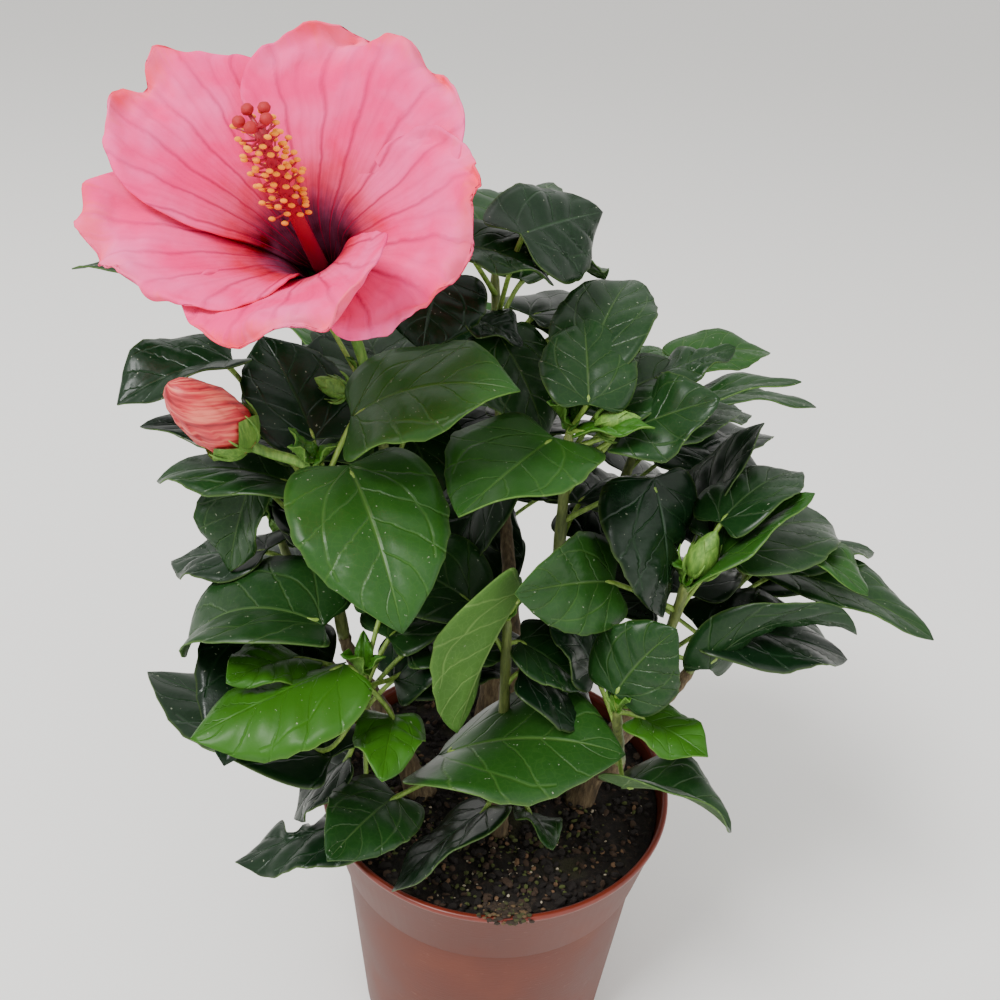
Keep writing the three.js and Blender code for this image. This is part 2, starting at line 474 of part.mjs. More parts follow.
for (const name of names) {
  const draw = seeded(SHOOTS[name].seed);
  log.spiral[name] = '';
  for (let i = 0; i < SHOOTS[name].spiral; i++) {
    const draws = Array.from({ length: 10 }, draw);
    const step = [0, 1, 2, 3].find((k) => {
      const leaf = spiralLeaf(SHOOTS[name], i, draws, k);
      return (!SHOOTS[name].leaves.length || Math.sin(rad(leaf.bearing)) > FAR_SIDE) && grow(name, leafBody(leaf));
    });
    log.spiral[name] += step ?? 'x';
  }
}
for (const name of names) add(`leaves_${name}`, whole(Manifold.union(grown[name])), COLOURS.leaf);

export default shrub;
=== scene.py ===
"""Potted hibiscus shrub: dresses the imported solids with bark, leaves, flower, buds, soil and pot.

Sizes are millimetres in the tables and the rule, and metres in the finished meshes.
Bearings are degrees from +X round to +Y, rises are degrees above level.
"""
import math
from functools import partial

import bmesh
import bpy
from mathutils import Matrix, Vector, noise


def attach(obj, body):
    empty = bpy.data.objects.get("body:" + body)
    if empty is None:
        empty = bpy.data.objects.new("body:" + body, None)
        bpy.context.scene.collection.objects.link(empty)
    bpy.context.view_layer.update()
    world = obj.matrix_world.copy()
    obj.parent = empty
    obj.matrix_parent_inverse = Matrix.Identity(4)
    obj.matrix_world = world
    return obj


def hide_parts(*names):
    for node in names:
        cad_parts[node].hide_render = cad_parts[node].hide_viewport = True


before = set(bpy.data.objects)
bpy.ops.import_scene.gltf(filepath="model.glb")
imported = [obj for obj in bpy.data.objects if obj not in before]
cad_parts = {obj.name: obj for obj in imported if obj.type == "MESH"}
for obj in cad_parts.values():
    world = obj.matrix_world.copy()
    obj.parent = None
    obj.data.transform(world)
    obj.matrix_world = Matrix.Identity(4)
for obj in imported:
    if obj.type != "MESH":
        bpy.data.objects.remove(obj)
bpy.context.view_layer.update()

MM = 0.001

# ---------------------------------------------------------------- the plant's sizes
POT = dict(height=115, rim=65, lip=1.6, collar=28, collar_foot=58.6, step=1.6,
           base=49.5, wall=1.6, floor=2.2, holes=6, hole_radius=4.5, hole_circle=35)
SOIL_TOP, SOIL_EDGE = 110, 109.2
BOUGH_RADIUS, SHOOT_RADIUS, TIP_RADIUS = 3.3, 2.1, 1.55
STALK_RADII = (1.15, 0.85, 0.8, 0.78, 0.78, 0.8, 0.85, 0.9, 0.8, 0.45)   # from the shoot to the blade
SPIRAL_TURN = 137.5          # degrees from one leaf of a shoot to the next
LOBE = 0.13                  # how far a leaf's heart-shaped base reaches back
# a stem: its foot in the soil, radius there, fork and radius at the fork
STEMS = {
    "left": dict(foot=(-28, -6), radius=4.6, fork=(-42, -9, 150), top=3.4),
    "centre": dict(foot=(5, 6), radius=5.6, fork=(3, 6, 168), top=4),
    "right": dict(foot=(32, -4), radius=4.4, fork=(42, -7, 148), top=3.4),
    "back": dict(foot=(-5, 36), radius=4.8, fork=(-3, 45, 158), top=3.6),
    "front": dict(foot=(2, -22), radius=3.4, fork=(2, -27, 139), top=2.4),
}
# A shoot: the stem it belongs to, how far up that stem its bough leaves (1 at the fork, None where
# the stem carries on as the shoot), its two ends, its seed and the bearing of its first drawn leaf.
# spiral: how many turns of 40 degrees each drawn leaf needs to clear the other shoots, the wood and
# the flowers, as the overlap test in the source of the solids finds it. x is a leaf that is left
# off, because no turn clears it or because it grows on the near side of a shoot with known leaves.
# A known leaf: place along the shoot, stalk bearing, rise and length, blade bearing, rise,
# length and width, droop, roll, fold, twist, age and painted light (0 old and dark to 3 new; a leaf
# in shade is set darker as painted shade, and a leaf with a broad sheen lighter as a painted sheen).
SHOOTS = {
    "upper_left": dict(stem="left", off=1, start=(-54, -14, 186), tip=(-59, -28, 254),
        seed=11, spiral="x30x20xx", turn=200, leaves=[
            (0.9, -35, 44, 19, -62, -11, 53, 43, 42, 4, 1, 4, 2),
            (0.84, -18, 69, 32, -11, 42, 51, 44, 49, 23, -1, -9, 2),
            (0.3, -87, 6, 22, 172, 25, 58, 47, 99, 8, 12, -23, 1),
            (0.55, 156, 34, 33, -130, -62, 33, 30, 17, -5, 18, -4, 1),
            (0.35, 160, 12, 25, 162, -16, 42, 33, 12, 2, -5, -6, 0),
            (0.8, 144, 45, 51, -144, 6, 36, 33, 37, 6, 17, -24, 0),
            (0.7, 109, 61, 26, 133, 48, 38, 36, 20, 0, 8, 0, 0),
            (0.7, 135, 44, 27, -172, 23, 43, 30, 30, 0, 6, 0, 0)]),
    "upper_right": dict(stem="centre", off=0.6, start=(15, -9, 202), tip=(14, -14, 266),
        seed=12, spiral="0x2xx0x20", turn=60, leaves=[
            (1, -47, 59, 13, 95, 40, 32, 28, 21, 5, 4, -15, 1),
            (0.85, -138, 55, 11, -121, -2, 47, 43, 10, -6, 6, 20, 2),
            (0.9, 3, 24, 16, -19, 36, 32, 29, 9, 14, -1, 40, 1),
            (0.8, 38, 36, 41, 11, 25, 25, 22, 9, -14, -4, 23, 1),
            (0.8, 20, 30, 36, -13, 32, 39, 26, 22, -11, 4, 7, 1),
            (1, -54, 21, 5, -22, 22, 23, 10, 10, 0, 5, 0, 3),
            (0.5, -4, 35, 32, -62, -47, 45, 42, 46, -3, -14, -45, 0)]),
    "front": dict(stem="front", off=None, start=(2, -27, 139), tip=(0, -34, 212),
        seed=13, spiral="xxxxx0x", turn=200, leaves=[
            # this big front leaf is set lighter than its age, a painted sheen
            (0.4, -143, -8, 25, -6, 38, 61, 57, 53, -22, 1, 44, 1.7),
            (1, -62, 63, 18, -134, -46, 48, 44, 29, 64, 18, 19, 2),
            (0.1, -110, -48, 14, -140, -8, 42, 37, 29, 37, 0, 2, 0),
            (0.16, -21, -61, 24, -73, 38, 27, 15, 34, -19, 5, -4, 1),
            (0.2, -157, -15, 38, -114, 22, 39, 29, 22, -9, 3, -16, 1),
            (0.85, 36, -1, 5, -11, -19, 26, 28, 30, 0, 5, 0, 1),
            (0.6, -32, 64, 11, 6, -24, 35, 34, 30, 10, 5, 0, 0)]),
    "lower_left": dict(stem="left", off=0.45, start=(-46, -24, 154), tip=(-42, -44, 194),
        seed=14, spiral="xx1x30x3", turn=80, leaves=[
            (0.8, 47, -16, 12, 30, 49, 37, 34, 11, -1, 0, -15, 0),
            (0.9, -22, -40, 14, -88, 23, 33, 21, 30, -2, -3, -5, 3),
            (0.2, -73, -72, 35, -167, -13, 48, 37, 13, 14, -8, 1, 0),
            (0.3, -135, -69, 16, -171, -40, 34, 30, 30, 0, 5, 0, 0),
            (1, -165, 43, 8, -147, -9, 48, 46, 8, 22, -21, -32, 3),
            (1, 159, -3, 23, -127, 24, 28, 25, 24, 5, 0, -18, 3),
            (0.55, -139, -55, 21, 158, 8, 75, 46, 8, 9, 1, 2, 0)]),
    "lower_right": dict(stem="right", off=0.5, start=(41, -27, 152), tip=(36, -40, 184),
        seed=15, spiral="xxxxxxxx", turn=330, leaves=[
            (0.8, -115, 66, 18, -6, 72, 31, 29, 22, 64, -10, 10, 1),
            (1, 25, -26, 9, -35, 8, 25, 23, 24, -8, 0, 16, 3),
            (0.3, -87, -20, 14, -13, 27, 40, 36, 79, -34, 21, 23, 1),
            (0.6, 134, 53, 21, 160, 62, 26, 30, 30, 0, 5, 0, 0)]),
    "right": dict(stem="right", off=1, start=(50, -14, 178), tip=(54, -22, 220),
        seed=16, spiral="0x3xx1x3", turn=30, leaves=[
            (0.9, 41, 33, 8, 10, 58, 44, 34, 29, -25, 6, 20, 2),
            (0.5, 73, 33, 33, 22, 86, 48, 39, 39, -13, 7, -11, 0),
            (0.75, -164, 31, 26, -136, 22, 44, 30, 10, -51, 6, -33, 2),
            (0.3, -24, -3, 16, 8, 69, 56, 23, 106, 97, -23, 43, 1)]),
    "flower": dict(stem="centre", off=0.8, start=(-36, 4, 212), tip=(-47, 2, 268),
        seed=17, spiral="x0x0x30xx", turn=20, leaves=[
            (0.7, 157, 12, 14, 114, 46, 33, 34, 20, 0, 8, 0, 0),
            (0.9, 152, 53, 49, -169, 5, 65, 28, 15, 0, 8, 0, 1)]),
    # the tall shoot's leaves, in shade at the back, are set old and dark: partly their age, partly painted
    # shade
    "tall": dict(stem="centre", off=1, start=(-4, 20, 222), tip=(-12, 28, 300),
        seed=18, spiral="0x2030x20x", turn=75, leaves=[
            (0.8, -78, 50, 46, 51, 5, 38, 35, 8, 26, -16, 31, 0),
            (0.9, -111, 40, 34, -9, 1, 29, 26, 38, 22, 8, -29, 1),
            (0.6, -153, 56, 39, -102, -40, 24, 34, 30, 0, 0, 0, 0),
            (0.3, -104, 76, 40, -43, -36, 36, 36, 30, 0, 0, 0, 1),
            (0.03, -95, 45, 23, -150, -48, 44, 36, 30, 0, 5, 0, 0),
            (0.45, -138, 66, 35, -20, -4, 19, 22, 30, 0, 5, 0, 0)]),
    "left": dict(stem="left", off=0.7, start=(-66, 8, 160), tip=(-82, 16, 204),
        seed=19, spiral="001x21x", turn=130, leaves=[]),
    "right_back": dict(stem="right", off=0.75, start=(68, 14, 160), tip=(84, 22, 204),
        seed=20, spiral="00303001", turn=20, leaves=[]),
    "back_left": dict(stem="back", off=0.78, start=(-46, 52, 190), tip=(-60, 60, 248),
        seed=21, spiral="02001023031", turn=110, leaves=[]),
    "back_right": dict(stem="back", off=1, start=(34, 50, 190), tip=(48, 60, 250),
        seed=22, spiral="0x1x3001000", turn=70, leaves=[]),
    "back_low": dict(stem="back", off=0.5, start=(-5, 66, 168), tip=(-6, 84, 208),
        seed=23, spiral="010x20320x", turn=90, leaves=[]),
}
# a green bud: its shoot, place along it, and its stalk's bearing, rise and length
BUDS = [
    dict(shoot="upper_right", at=1, bearing=-14, rise=22, stalk=9, length=13),
    dict(shoot="right", at=1, bearing=20, rise=70, stalk=5, length=16),
    dict(shoot="lower_right", at=1, bearing=60, rise=75, stalk=3, length=12),
    dict(shoot="flower", at=0.9, bearing=-160, rise=30, stalk=10, length=11),
]
# the open flower: its seat, and the ways that it and its column point
BLOOM = dict(seat=(-54, -8, 298), bearing=-102.6, rise=49.5,
             column_bearing=-110.8, column_rise=57.7)
# a petal: place round the axis, reach, breadth and height of its margin, lift and extra reach of
# its leading side
PETALS = [(1.6, 44.4, 50.1, 12, 6.7, 4.1),
          (76, 53, 54.1, 21.3, -0.4, -0.4),
          (150.2, 56, 41.3, 24.9, 0.9, -4),
          (213.4, 46.4, 47.8, 24.1, -0.2, -7.1),
          (289.2, 43.1, 45.8, 28.7, 1.7, 0.5)]
# the bud that is about to open
OPENING = dict(seat=(-76.6, -28, 261.1), bearing=-156.7, rise=45.1, length=29, radius=8.2)
# the petals' common funnel: place along a petal, reach from the axis, height over the throat
FUNNEL = [(0, 1.4, -17), (0.25, 9, 0), (0.5, 23, 10), (0.74, 40, 18.5), (0.9, 51, 23), (1, 57, 23.5)]
TUBE = 25                    # the throat stands this far over the flower's seat
THROAT = 9                   # radius of the throat
PINWHEEL, RUFFLE = 2.6, 3.4  # how far a petal's one side lies over the next, and its margin waves
FRILL = 15                   # grain of the frills in the petals' margins
PETAL_THICK = 0.5
COLUMN = dict(length=46, sunk=8, radius=2.2, tip_radius=1.5, bare=21, sag=1.2,
              stamens=96, anther=0.74, pads=5, pad=1.5)
# a blade's margin is toothed and waved, and its skin puffs between the vein pairs: depth of a tooth
# as a share of the half width, counts along the blade, depth of the groove over the rib
TOOTH, TEETH, WAVES, VEIN_PAIRS, GROOVE = 0.05, 8, 10.5, 5.2, 0.6
BLADE_THICK = 0.45
# the nibbled leaf: its shoot and number, then each bite's place along the leaf, run and depth
NIBBLED = ("lower_left", 2)
BITES = ((0.44, 0.055, 0.55), (0.57, 0.07, 0.8))
# crumbs on the soil: name, colour, count, size and how strongly they gather in the trodden front
GRAINS = [("bark crumbs, brown", "#3a2a1d", 420, 1.3, 0.2), ("bark crumbs, tan", "#6b5038", 150, 1.0, 0.4),
          ("grit, pale", "#a89c86", 130, 0.5, 0.7), ("moss, dull green", "#454c22", 300, 0.9, 0.8),
          ("peat crumbs, black-brown", "#17100b", 900, 1.5, 0)]
# a pinch of mossy peat spilt over the front of the lip: name, colour, count
SPILT = [("spilt peat, dry", "#2a1f14", 130), ("spilt peat, tan", "#57442c", 55),
         ("spilt moss", "#35361a", 40)]
SPILT_BEARING, SPILT_SPREAD = -84, 8.5


# ---------------------------------------------------------------- small helpers
def lerp(a, b, t):
    """The value a share t of the way from a to b."""
    return a + (b - a) * t


def aim(bearing, rise):
    """The direction of a bearing and a rise in degrees."""
    b, r = math.radians(bearing), math.radians(rise)
    return Vector((math.cos(r) * math.cos(b), math.cos(r) * math.sin(b), math.sin(r)))


def seeded(seed):
    """The same draws as the part's own rule, from 0 to 1."""
    state = seed & 0xFFFFFFFF

    def draw():
        nonlocal state
        state = (state * 1664525 + 1013904223) & 0xFFFFFFFF
        return state / 4294967296

    return draw


def colour(code):
    """A colour given as sRGB hex, in linear light."""
    parts = [int(code[i:i + 2], 16) / 255 for i in (1, 3, 5)]
    return [p / 12.92 if p <= 0.04045 else ((p + 0.055) / 1.055) ** 2.4 for p in parts] + [1]


# ---------------------------------------------------------------- materials
def feed(node, inputs):
    """Sets a node's inputs: a socket is linked, anything else is the input's own value."""
    for key, value in inputs.items():
        if isinstance(value, bpy.types.NodeSocket):
            node.id_data.links.new(value, node.inputs[key])
        else:
            node.inputs[key].default_value = value


def add_node(tree, kind, *values, inputs=None, stops=(), out=0, **settings):
    """One shader node with its settings, its values or links and a ramp's stops. Returns one output."""
    node = tree.nodes.new("ShaderNode" + kind)
    for key, value in settings.items():
        setattr(node, key, value)
    feed(node, dict(enumerate(values)) | (inputs or {}))
    if stops:
        ramp = node.color_ramp.elements
        while len(ramp) < len(stops):
            ramp.new(0.5)
        for element, (place, tint) in zip(ramp, stops):
            element.position, element.color = place, colour(tint)
    return node.outputs[out]


def finish(name, **values):
    """A material; returns it, its surface and the function that adds nodes beside the surface."""
    made = bpy.data.materials.new(name)
    made.use_nodes = True
    surface = made.node_tree.nodes["Principled BSDF"]
    feed(surface, {key.replace("_", " "): value for key, value in values.items()})
    return made, surface, partial(add_node, made.node_tree)


def cells(size):
    """The scale of a pattern whose features are about this size, in millimetres."""
    return 1 / (size * MM)


def line(add, distance, sharp):
    """A soft line: 1 where the distance is nought, fading to 0 at 1 / sharp."""
    return add("Math", distance, -sharp, 1.0, operation="MULTIPLY_ADD", use_clamp=True)


def along_and_across(add, uv_map):
    """How far along the rib or the roll, from 0 to 1, and how far across it, from -1 to 1."""
    uv = add("UVMap", uv_map=uv_map)
    across = add("Math", add("SeparateXYZ", uv, out="Y"), 2.0, -1.0, operation="MULTIPLY_ADD")
    return add("SeparateXYZ", uv, out="X"), across


# a Mix node of colours takes its share at input 0 and the two colours at 6 and 7
COLOURS = dict(data_type="RGBA", out=2)


def pot_plastic():
    # Moulded terracotta-coloured polypropylene: satin, with a film of dust and fine scuffs.
    made, surface, add = finish("terracotta polypropylene, moulded", Specular_IOR_Level=0.2)
    place = add("TexCoord", out="Object")
    film = add("TexNoise", inputs={"Vector": place, "Scale": cells(38.5), "Detail": 6.0,
                                   "Roughness": 0.6})
    drawn = add("Mapping", inputs={"Vector": place, "Scale": (cells(4.17), cells(4.17), cells(0.625))})
    scuff = add("TexNoise", inputs={"Vector": drawn, "Scale": 1.0, "Detail": 4.0})
    tint = add("ValToRGB", film, stops=[(0.3, "#4e2013"), (0.55, "#5a2819"), (0.8, "#683523")])
    scuffed = add("Math", scuff, 0.7, operation="GREATER_THAN")
    scuffed = add("Math", scuffed, 0.2, operation="MULTIPLY")
    feed(surface, {
        "Base Color": add("Mix", inputs={0: scuffed, 6: tint, 7: colour("#a97d6d")}, **COLOURS),
        "Roughness": add("Math", film, 0.25, 0.36, operation="MULTIPLY_ADD"),
        "Normal": add("Bump", inputs={"Height": scuff, "Distance": 0.2 * MM, "Strength": 0.3})})
    return made


def rim_plastic():
    # The same plastic on the handled lip, rubbed clean: its own orange-red, a little glossier.
    made, surface, add = finish("terracotta polypropylene, rubbed clean", Roughness=0.38, IOR=1.49)
    place = add("TexCoord", out="Object")
    film = add("TexNoise", inputs={"Vector": place, "Scale": cells(16.7), "Detail": 5.0})
    tint = add("ValToRGB", film, stops=[(0.35, "#5f1c0c"), (0.6, "#6e2413"), (0.8, "#5f2a1e")])
    feed(surface, {"Base Color": tint})
    return made


def soil_mix():
    # Damp peat: matt, near black, with a green film of algae in patches.
    made, surface, add = finish("peat potting mix, damp", Roughness=0.95)
    place = add("TexCoord", out="Object")
    crumb = add("TexNoise", inputs={"Vector": place, "Scale": cells(2.38), "Detail": 8.0,
                                    "Roughness": 0.7})
    patch = add("TexNoise", inputs={"Vector": place, "Scale": cells(22.2), "Detail": 3.0})
    tint = add("ValToRGB", crumb, stops=[(0.35, "#0f0b08"), (0.55, "#201812"), (0.72, "#463728")])
    green = add("Math", patch, 0.55, operation="SUBTRACT", use_clamp=True)
    green = add("Math", green, 2.5, operation="MULTIPLY", use_clamp=True)
    feed(surface, {
        "Base Color": add("Mix", inputs={0: green, 6: tint, 7: colour("#4a4a26")}, **COLOURS),
        "Normal": add("Bump", inputs={"Height": crumb, "Distance": 1.6 * MM, "Strength": 1.0})})
    return made


def plain(name, tint, roughness):
    """A finish of one colour."""
    made, surface, _ = finish(name, Roughness=roughness)
    feed(surface, {"Base Color": colour(tint)})
    return made


def bark(name, stops, roughness):
    # Thin bark: streaked lengthwise and flecked with pale pores.
    made, surface, add = finish(name, Roughness=roughness)
    drawn = add("Mapping", inputs={"Vector": add("TexCoord", out="Object"),
                                   "Scale": (cells(1.111), cells(1.111), cells(7.69))})
    streak = add("TexNoise", inputs={"Vector": drawn, "Scale": 1.0, "Detail": 5.0, "Roughness": 0.65})
    feed(surface, {
        "Base Color": add("ValToRGB", streak, stops=stops),
        "Normal": add("Bump", inputs={"Height": streak, "Distance": 0.4 * MM, "Strength": 0.5})})
    return made


def leaf_face(name, tones, vein_tints, vein_share, roughness, dust):
    # Waxy leaf skin: old leaves darker and glossier, leaves in shade darker still as painted shade, with
    # paler veins, a pale margin and flecks of dust.
    made, surface, add = finish(name, IOR=1.45, Specular_IOR_Level=0.3)
    place, tone = add("TexCoord", out="Object"), add("Attribute", attribute_name="tone", out="Fac")
    along, across = along_and_across(add, "leaf")
    over = add("Math", across, operation="ABSOLUTE")
    mottle = add("TexNoise", inputs={"Vector": place, "Scale": cells(14.3), "Detail": 5.0,
                                     "Roughness": 0.6})
    drift = add("Math", mottle, 0.5, operation="SUBTRACT")
    tint = add("ValToRGB", add("Math", drift, 0.28, tone, operation="MULTIPLY_ADD"), stops=tones)
    # one pair of veins fans out from the base and four pairs leave the rib at a slant
    wavy = add("Math", drift, 0.09, along, operation="MULTIPLY_ADD")
    fan = add("Math", add("Math", wavy, operation="SQRT"), over, operation="SUBTRACT")
    fan = line(add, add("Math", fan, operation="ABSOLUTE"), 30.0)
    fan = add("Math", fan, add("Math", along, 0.68, operation="LESS_THAN"), operation="MULTIPLY")
    slant = add("Math", add("Math", over, 0.85, operation="POWER"), 0.3, operation="MULTIPLY")
    pairs = add("Math", add("Math", wavy, slant, operation="SUBTRACT"), 5.2, 0.1, operation="MULTIPLY_ADD")
    side = line(add, add("Math", pairs, 0.5, operation="PINGPONG"), 17.0)
    side = add("Math", side, fan, operation="MAXIMUM")
    rib = line(add, over, 24.0)
    # the net of the finest veins
    net = add("TexVoronoi", inputs={"Vector": place, "Scale": cells(2.38)}, feature="DISTANCE_TO_EDGE",
              out="Distance")
    net = add("Math", line(add, net, 14.0), 0.15, operation="MULTIPLY")
    vein = add("Math", rib, add("Math", side, 0.5, operation="MULTIPLY"), operation="MAXIMUM")
    vein = add("Math", vein, net, operation="MAXIMUM")
    vein = add("Math", vein, vein_share, operation="MULTIPLY")
    pale = add("ValToRGB", tone, stops=list(zip((0.1, 0.55, 0.9), vein_tints)))
    tint = add("Mix", inputs={0: vein, 6: tint, 7: pale}, **COLOURS)
    margin = add("Math", over, 0.955, operation="SUBTRACT", use_clamp=True)
    margin = add("Math", margin, 12.0, operation="MULTIPLY", use_clamp=True)
    margin = add("Math", margin, 0.26, operation="MULTIPLY")
    tint = add("Mix", inputs={0: margin, 6: tint, 7: colour("#7c984a")}, **COLOURS)
    fleck = add("TexNoise", inputs={"Vector": place, "Scale": cells(1.25), "Detail": 2.0})
    fleck = add("Math", add("Math", fleck, 0.73, operation="GREATER_THAN"), dust, operation="MULTIPLY")
    dull = add("Math", tone, 0.14, roughness - 0.11, operation="MULTIPLY_ADD")
    cut = add("Math", rib, add("Math", side, 0.75, operation="MULTIPLY"), operation="MAXIMUM")
    skin = add("Math", add("Math", mottle, 0.9, operation="MULTIPLY"), cut, operation="SUBTRACT")
    feed(surface, {
        "Base Color": add("Mix", inputs={0: fleck, 6: tint, 7: colour("#a9ad98")}, **COLOURS),
        "Roughness": add("Math", mottle, 0.22, dull, operation="MULTIPLY_ADD"),
        "Normal": add("Bump", inputs={"Height": skin, "Distance": 0.6 * MM, "Strength": 0.5})})
    return made


def petal_face():
    # Thin satin petal: pink with deeper veins that fan from a dark red throat, coral at the margin.
    made, surface, add = finish("petal, satin", Roughness=0.6, Specular_IOR_Level=0.0)
    along, across = along_and_across(add, "petal")
    place = add("TexCoord", out="Object")
    cloud = add("TexNoise", inputs={"Vector": place, "Scale": cells(14.3), "Detail": 5.0})
    drift = add("Math", cloud, 0.5, operation="SUBTRACT")
    rays = add("CombineXYZ", add("Math", across, 22.0, operation="MULTIPLY"), along)
    streaks = add("TexNoise", inputs={"Vector": rays, "Scale": 1.0, "Detail": 4.0, "Roughness": 0.7})
    streaks = add("Math", streaks, 0.5, operation="SUBTRACT")
    reach = add("Math", drift, 0.06, along, operation="MULTIPLY_ADD")
    tint = add("ValToRGB", add("Math", streaks, -0.2, reach, operation="MULTIPLY_ADD"), stops=[
        (0.28, "#200001"), (0.35, "#680209"), (0.4, "#a4031d"), (0.47, "#cc083e"), (0.57, "#ec1a6c"),
        (0.76, "#f6267a"), (0.9, "#fb3680"), (0.97, "#fb4462")])
    pale = add("Math", drift, 2.2, 0.24, operation="MULTIPLY_ADD", use_clamp=True)
    pale = add("Math", pale, along, operation="MULTIPLY")
    tint = add("Mix", inputs={0: pale, 6: tint, 7: colour("#fb7cb8")}, **COLOURS)
    # seven veins, the forks that leave them past the middle, and a finer set between them
    bent = add("Math", drift, 0.16, across, operation="MULTIPLY_ADD")
    veins = add("Math", bent, 3.5, operation="MULTIPLY")
    fan = line(add, add("Math", veins, 0.5, operation="PINGPONG"), 11.0)
    forks = add("Math", along, 0.6, veins, operation="MULTIPLY_ADD")
    forks = line(add, add("Math", forks, 0.5, operation="PINGPONG"), 9.0)
    outer = add("Math", along, 0.45, operation="SUBTRACT", use_clamp=True)
    outer = add("Math", outer, 1.3, operation="MULTIPLY")
    forks = add("Math", forks, outer, operation="MULTIPLY")
    fine = add("Math", add("Math", bent, 15.0, operation="MULTIPLY"), 0.5, operation="PINGPONG")
    fine = add("Math", line(add, fine, 3.5), 0.12, operation="MULTIPLY")
    vein = add("Math", fan, add("Math", forks, fine, operation="MAXIMUM"), operation="MAXIMUM")
    fade = add("Math", 1.02, along, operation="SUBTRACT", use_clamp=True)
    fade = add("Math", fade, 1.5, operation="MULTIPLY", use_clamp=True)
    shown = add("Math", add("Math", vein, fade, operation="MULTIPLY"), 0.85, operation="MULTIPLY")
    sunk = add("Math", cloud, add("Math", vein, 0.8, operation="MULTIPLY"), operation="SUBTRACT")
    feed(surface, {
        "Base Color": add("Mix", inputs={0: shown, 6: tint, 7: colour("#9c0833")}, **COLOURS),
        "Normal": add("Bump", inputs={"Height": sunk, "Distance": 0.9 * MM, "Strength": 0.5})})
    return made


def bud_face():
    # Rolled petals: salmon to crimson streaks along the roll.
    made, surface, add = finish("rolled petal, satin", Roughness=0.5)
    uv = add("UVMap", uv_map="roll")
    round_roll = add("Math", add("SeparateXYZ", uv, out="Y"), 26.0, operation="MULTIPLY")
    along = add("Math", add("SeparateXYZ", uv, out="X"), 2.5, operation="MULTIPLY")
    laid = add("CombineXYZ", round_roll, along)
    streak = add("TexNoise", inputs={"Vector": laid, "Scale": 1.0, "Detail": 3.0})
    tint = add("ValToRGB", streak, stops=[(0.36, "#8c0f1d"), (0.5, "#c22c34"), (0.64, "#e06f5c")])
    feed(surface, {"Base Color": tint})
    return made


# ---------------------------------------------------------------- building pieces
def piece(name, bm, finishes, nodes, smooth=True):
    """A finished piece in metres at the origin, riding with the plant."""
    bmesh.ops.scale(bm, vec=(MM, MM, MM), verts=bm.verts)
    name = name.replace(",", "").replace(" ", "_")
    mesh = bpy.data.meshes.new(name)
    bm.to_mesh(mesh)
    bm.free()
    mesh.polygons.foreach_set("use_smooth", [smooth] * len(mesh.polygons))
    for skin in finishes:
        mesh.materials.append(skin)
    made = bpy.data.objects.new(name, mesh)
    bpy.context.collection.objects.link(made)
    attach(made, "root")
    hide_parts(*nodes)
    return made


def thicken(sheet_piece, thick, under=0):
    """Gives laid blades or petals their thickness; the far side may take the next finish."""
    shell = sheet_piece.modifiers.new("thickness", "SOLIDIFY")
    shell.thickness, shell.offset, shell.use_even_offset = thick * MM, 0, False
    shell.material_offset = shell.material_offset_rim = under


def frames_along(path):
    """A place and a turn at each point of a path, carried along without twisting."""
    side, found = None, []
    for i, point in enumerate(path):
        run = (path[min(i + 1, len(path) - 1)] - path[max(i - 1, 0)]).normalized()
        if side is None:
            side = run.orthogonal()
        side = (side - run * side.dot(run)).normalized()
        over = run.cross(side)
        turn = Matrix((side, over, run)).transposed().to_4x4()
        found.append(Matrix.Translation(point) @ turn)
    return found


def limb(bm, path, radii, sides):
    """A round limb: a circle extruded from ring to ring along a path."""
    places = frames_along(path)
    ring = bmesh.ops.create_circle(bm, cap_ends=True, segments=sides, radius=1,
                                   matrix=places[0] @ Matrix.Scale(radii[0], 4))["verts"]
    edges = list(dict.fromkeys(edge for vert in ring for edge in vert.link_edges))
    for i in range(1, len(path)):
        grown = bmesh.ops.extrude_edge_only(bm, edges=edges)["geom"]
        verts = [g for g in grown if isinstance(g, bmesh.types.BMVert)]
        edges = [g for g in grown if isinstance(g, bmesh.types.BMEdge)]
        step = places[i] @ Matrix.Scale(radii[i] / radii[i - 1], 4) @ places[i - 1].inverted()
        bmesh.ops.transform(bm, matrix=step, verts=verts)
    bmesh.ops.contextual_create(bm, geom=edges)


def bezier(a, b, c, d, steps):
    """Points along a curve that leaves a towards b and reaches d from c."""
    return [a * (1 - k) ** 3 + b * 3 * k * (1 - k) ** 2 + c * 3 * k * k * (1 - k) + d * k ** 3
            for k in (i / steps for i in range(steps + 1))]


def turned(bm, profile, steps, place=Matrix.Identity(4)):
    """A full turn of a profile of (radius, height) points, closed at its poles. Returns its vertices."""
    verts = [bm.verts.new((r, 0, h)) for r, h in profile]
    edges = [bm.edges.new(pair) for pair in zip(verts, verts[1:])]
    bmesh.ops.spin(bm, geom=verts + edges, cent=(0, 0, 0), axis=(0, 0, 1), angle=2 * math.pi,
                   steps=steps, use_merge=True)
    made = list(dict.fromkeys(vert for edge in edges for vert in edge.verts))
    known = set(made)
    for vert in made:                # the list grows as the new skin is walked over
        for edge in vert.link_edges:
            far = edge.other_vert(vert)
            if far not in known:
                known.add(far)
                made.append(far)
    bmesh.ops.transform(bm, matrix=place, verts=made)
    return made


def place_on(seat, axis):
    """A place whose +Z runs along an axis from a seat."""
    return Matrix.Translation(seat) @ axis.to_track_quat("Z", "Y").to_matrix().to_4x4()


# ---------------------------------------------------------------- the leaf rule
def leaf_width(s):
    """The blade's half width along its length, as a share of the widest."""
    return s ** 0.5 * (1 - s) ** 0.95 / (0.345 ** 0.5 * 0.655 ** 0.95)


def leaf_lag(s):
    """How far the margin hangs back behind the rib, which makes the base heart-shaped."""
    return LOBE * (s / 0.09) * math.exp(1 - s / 0.09)


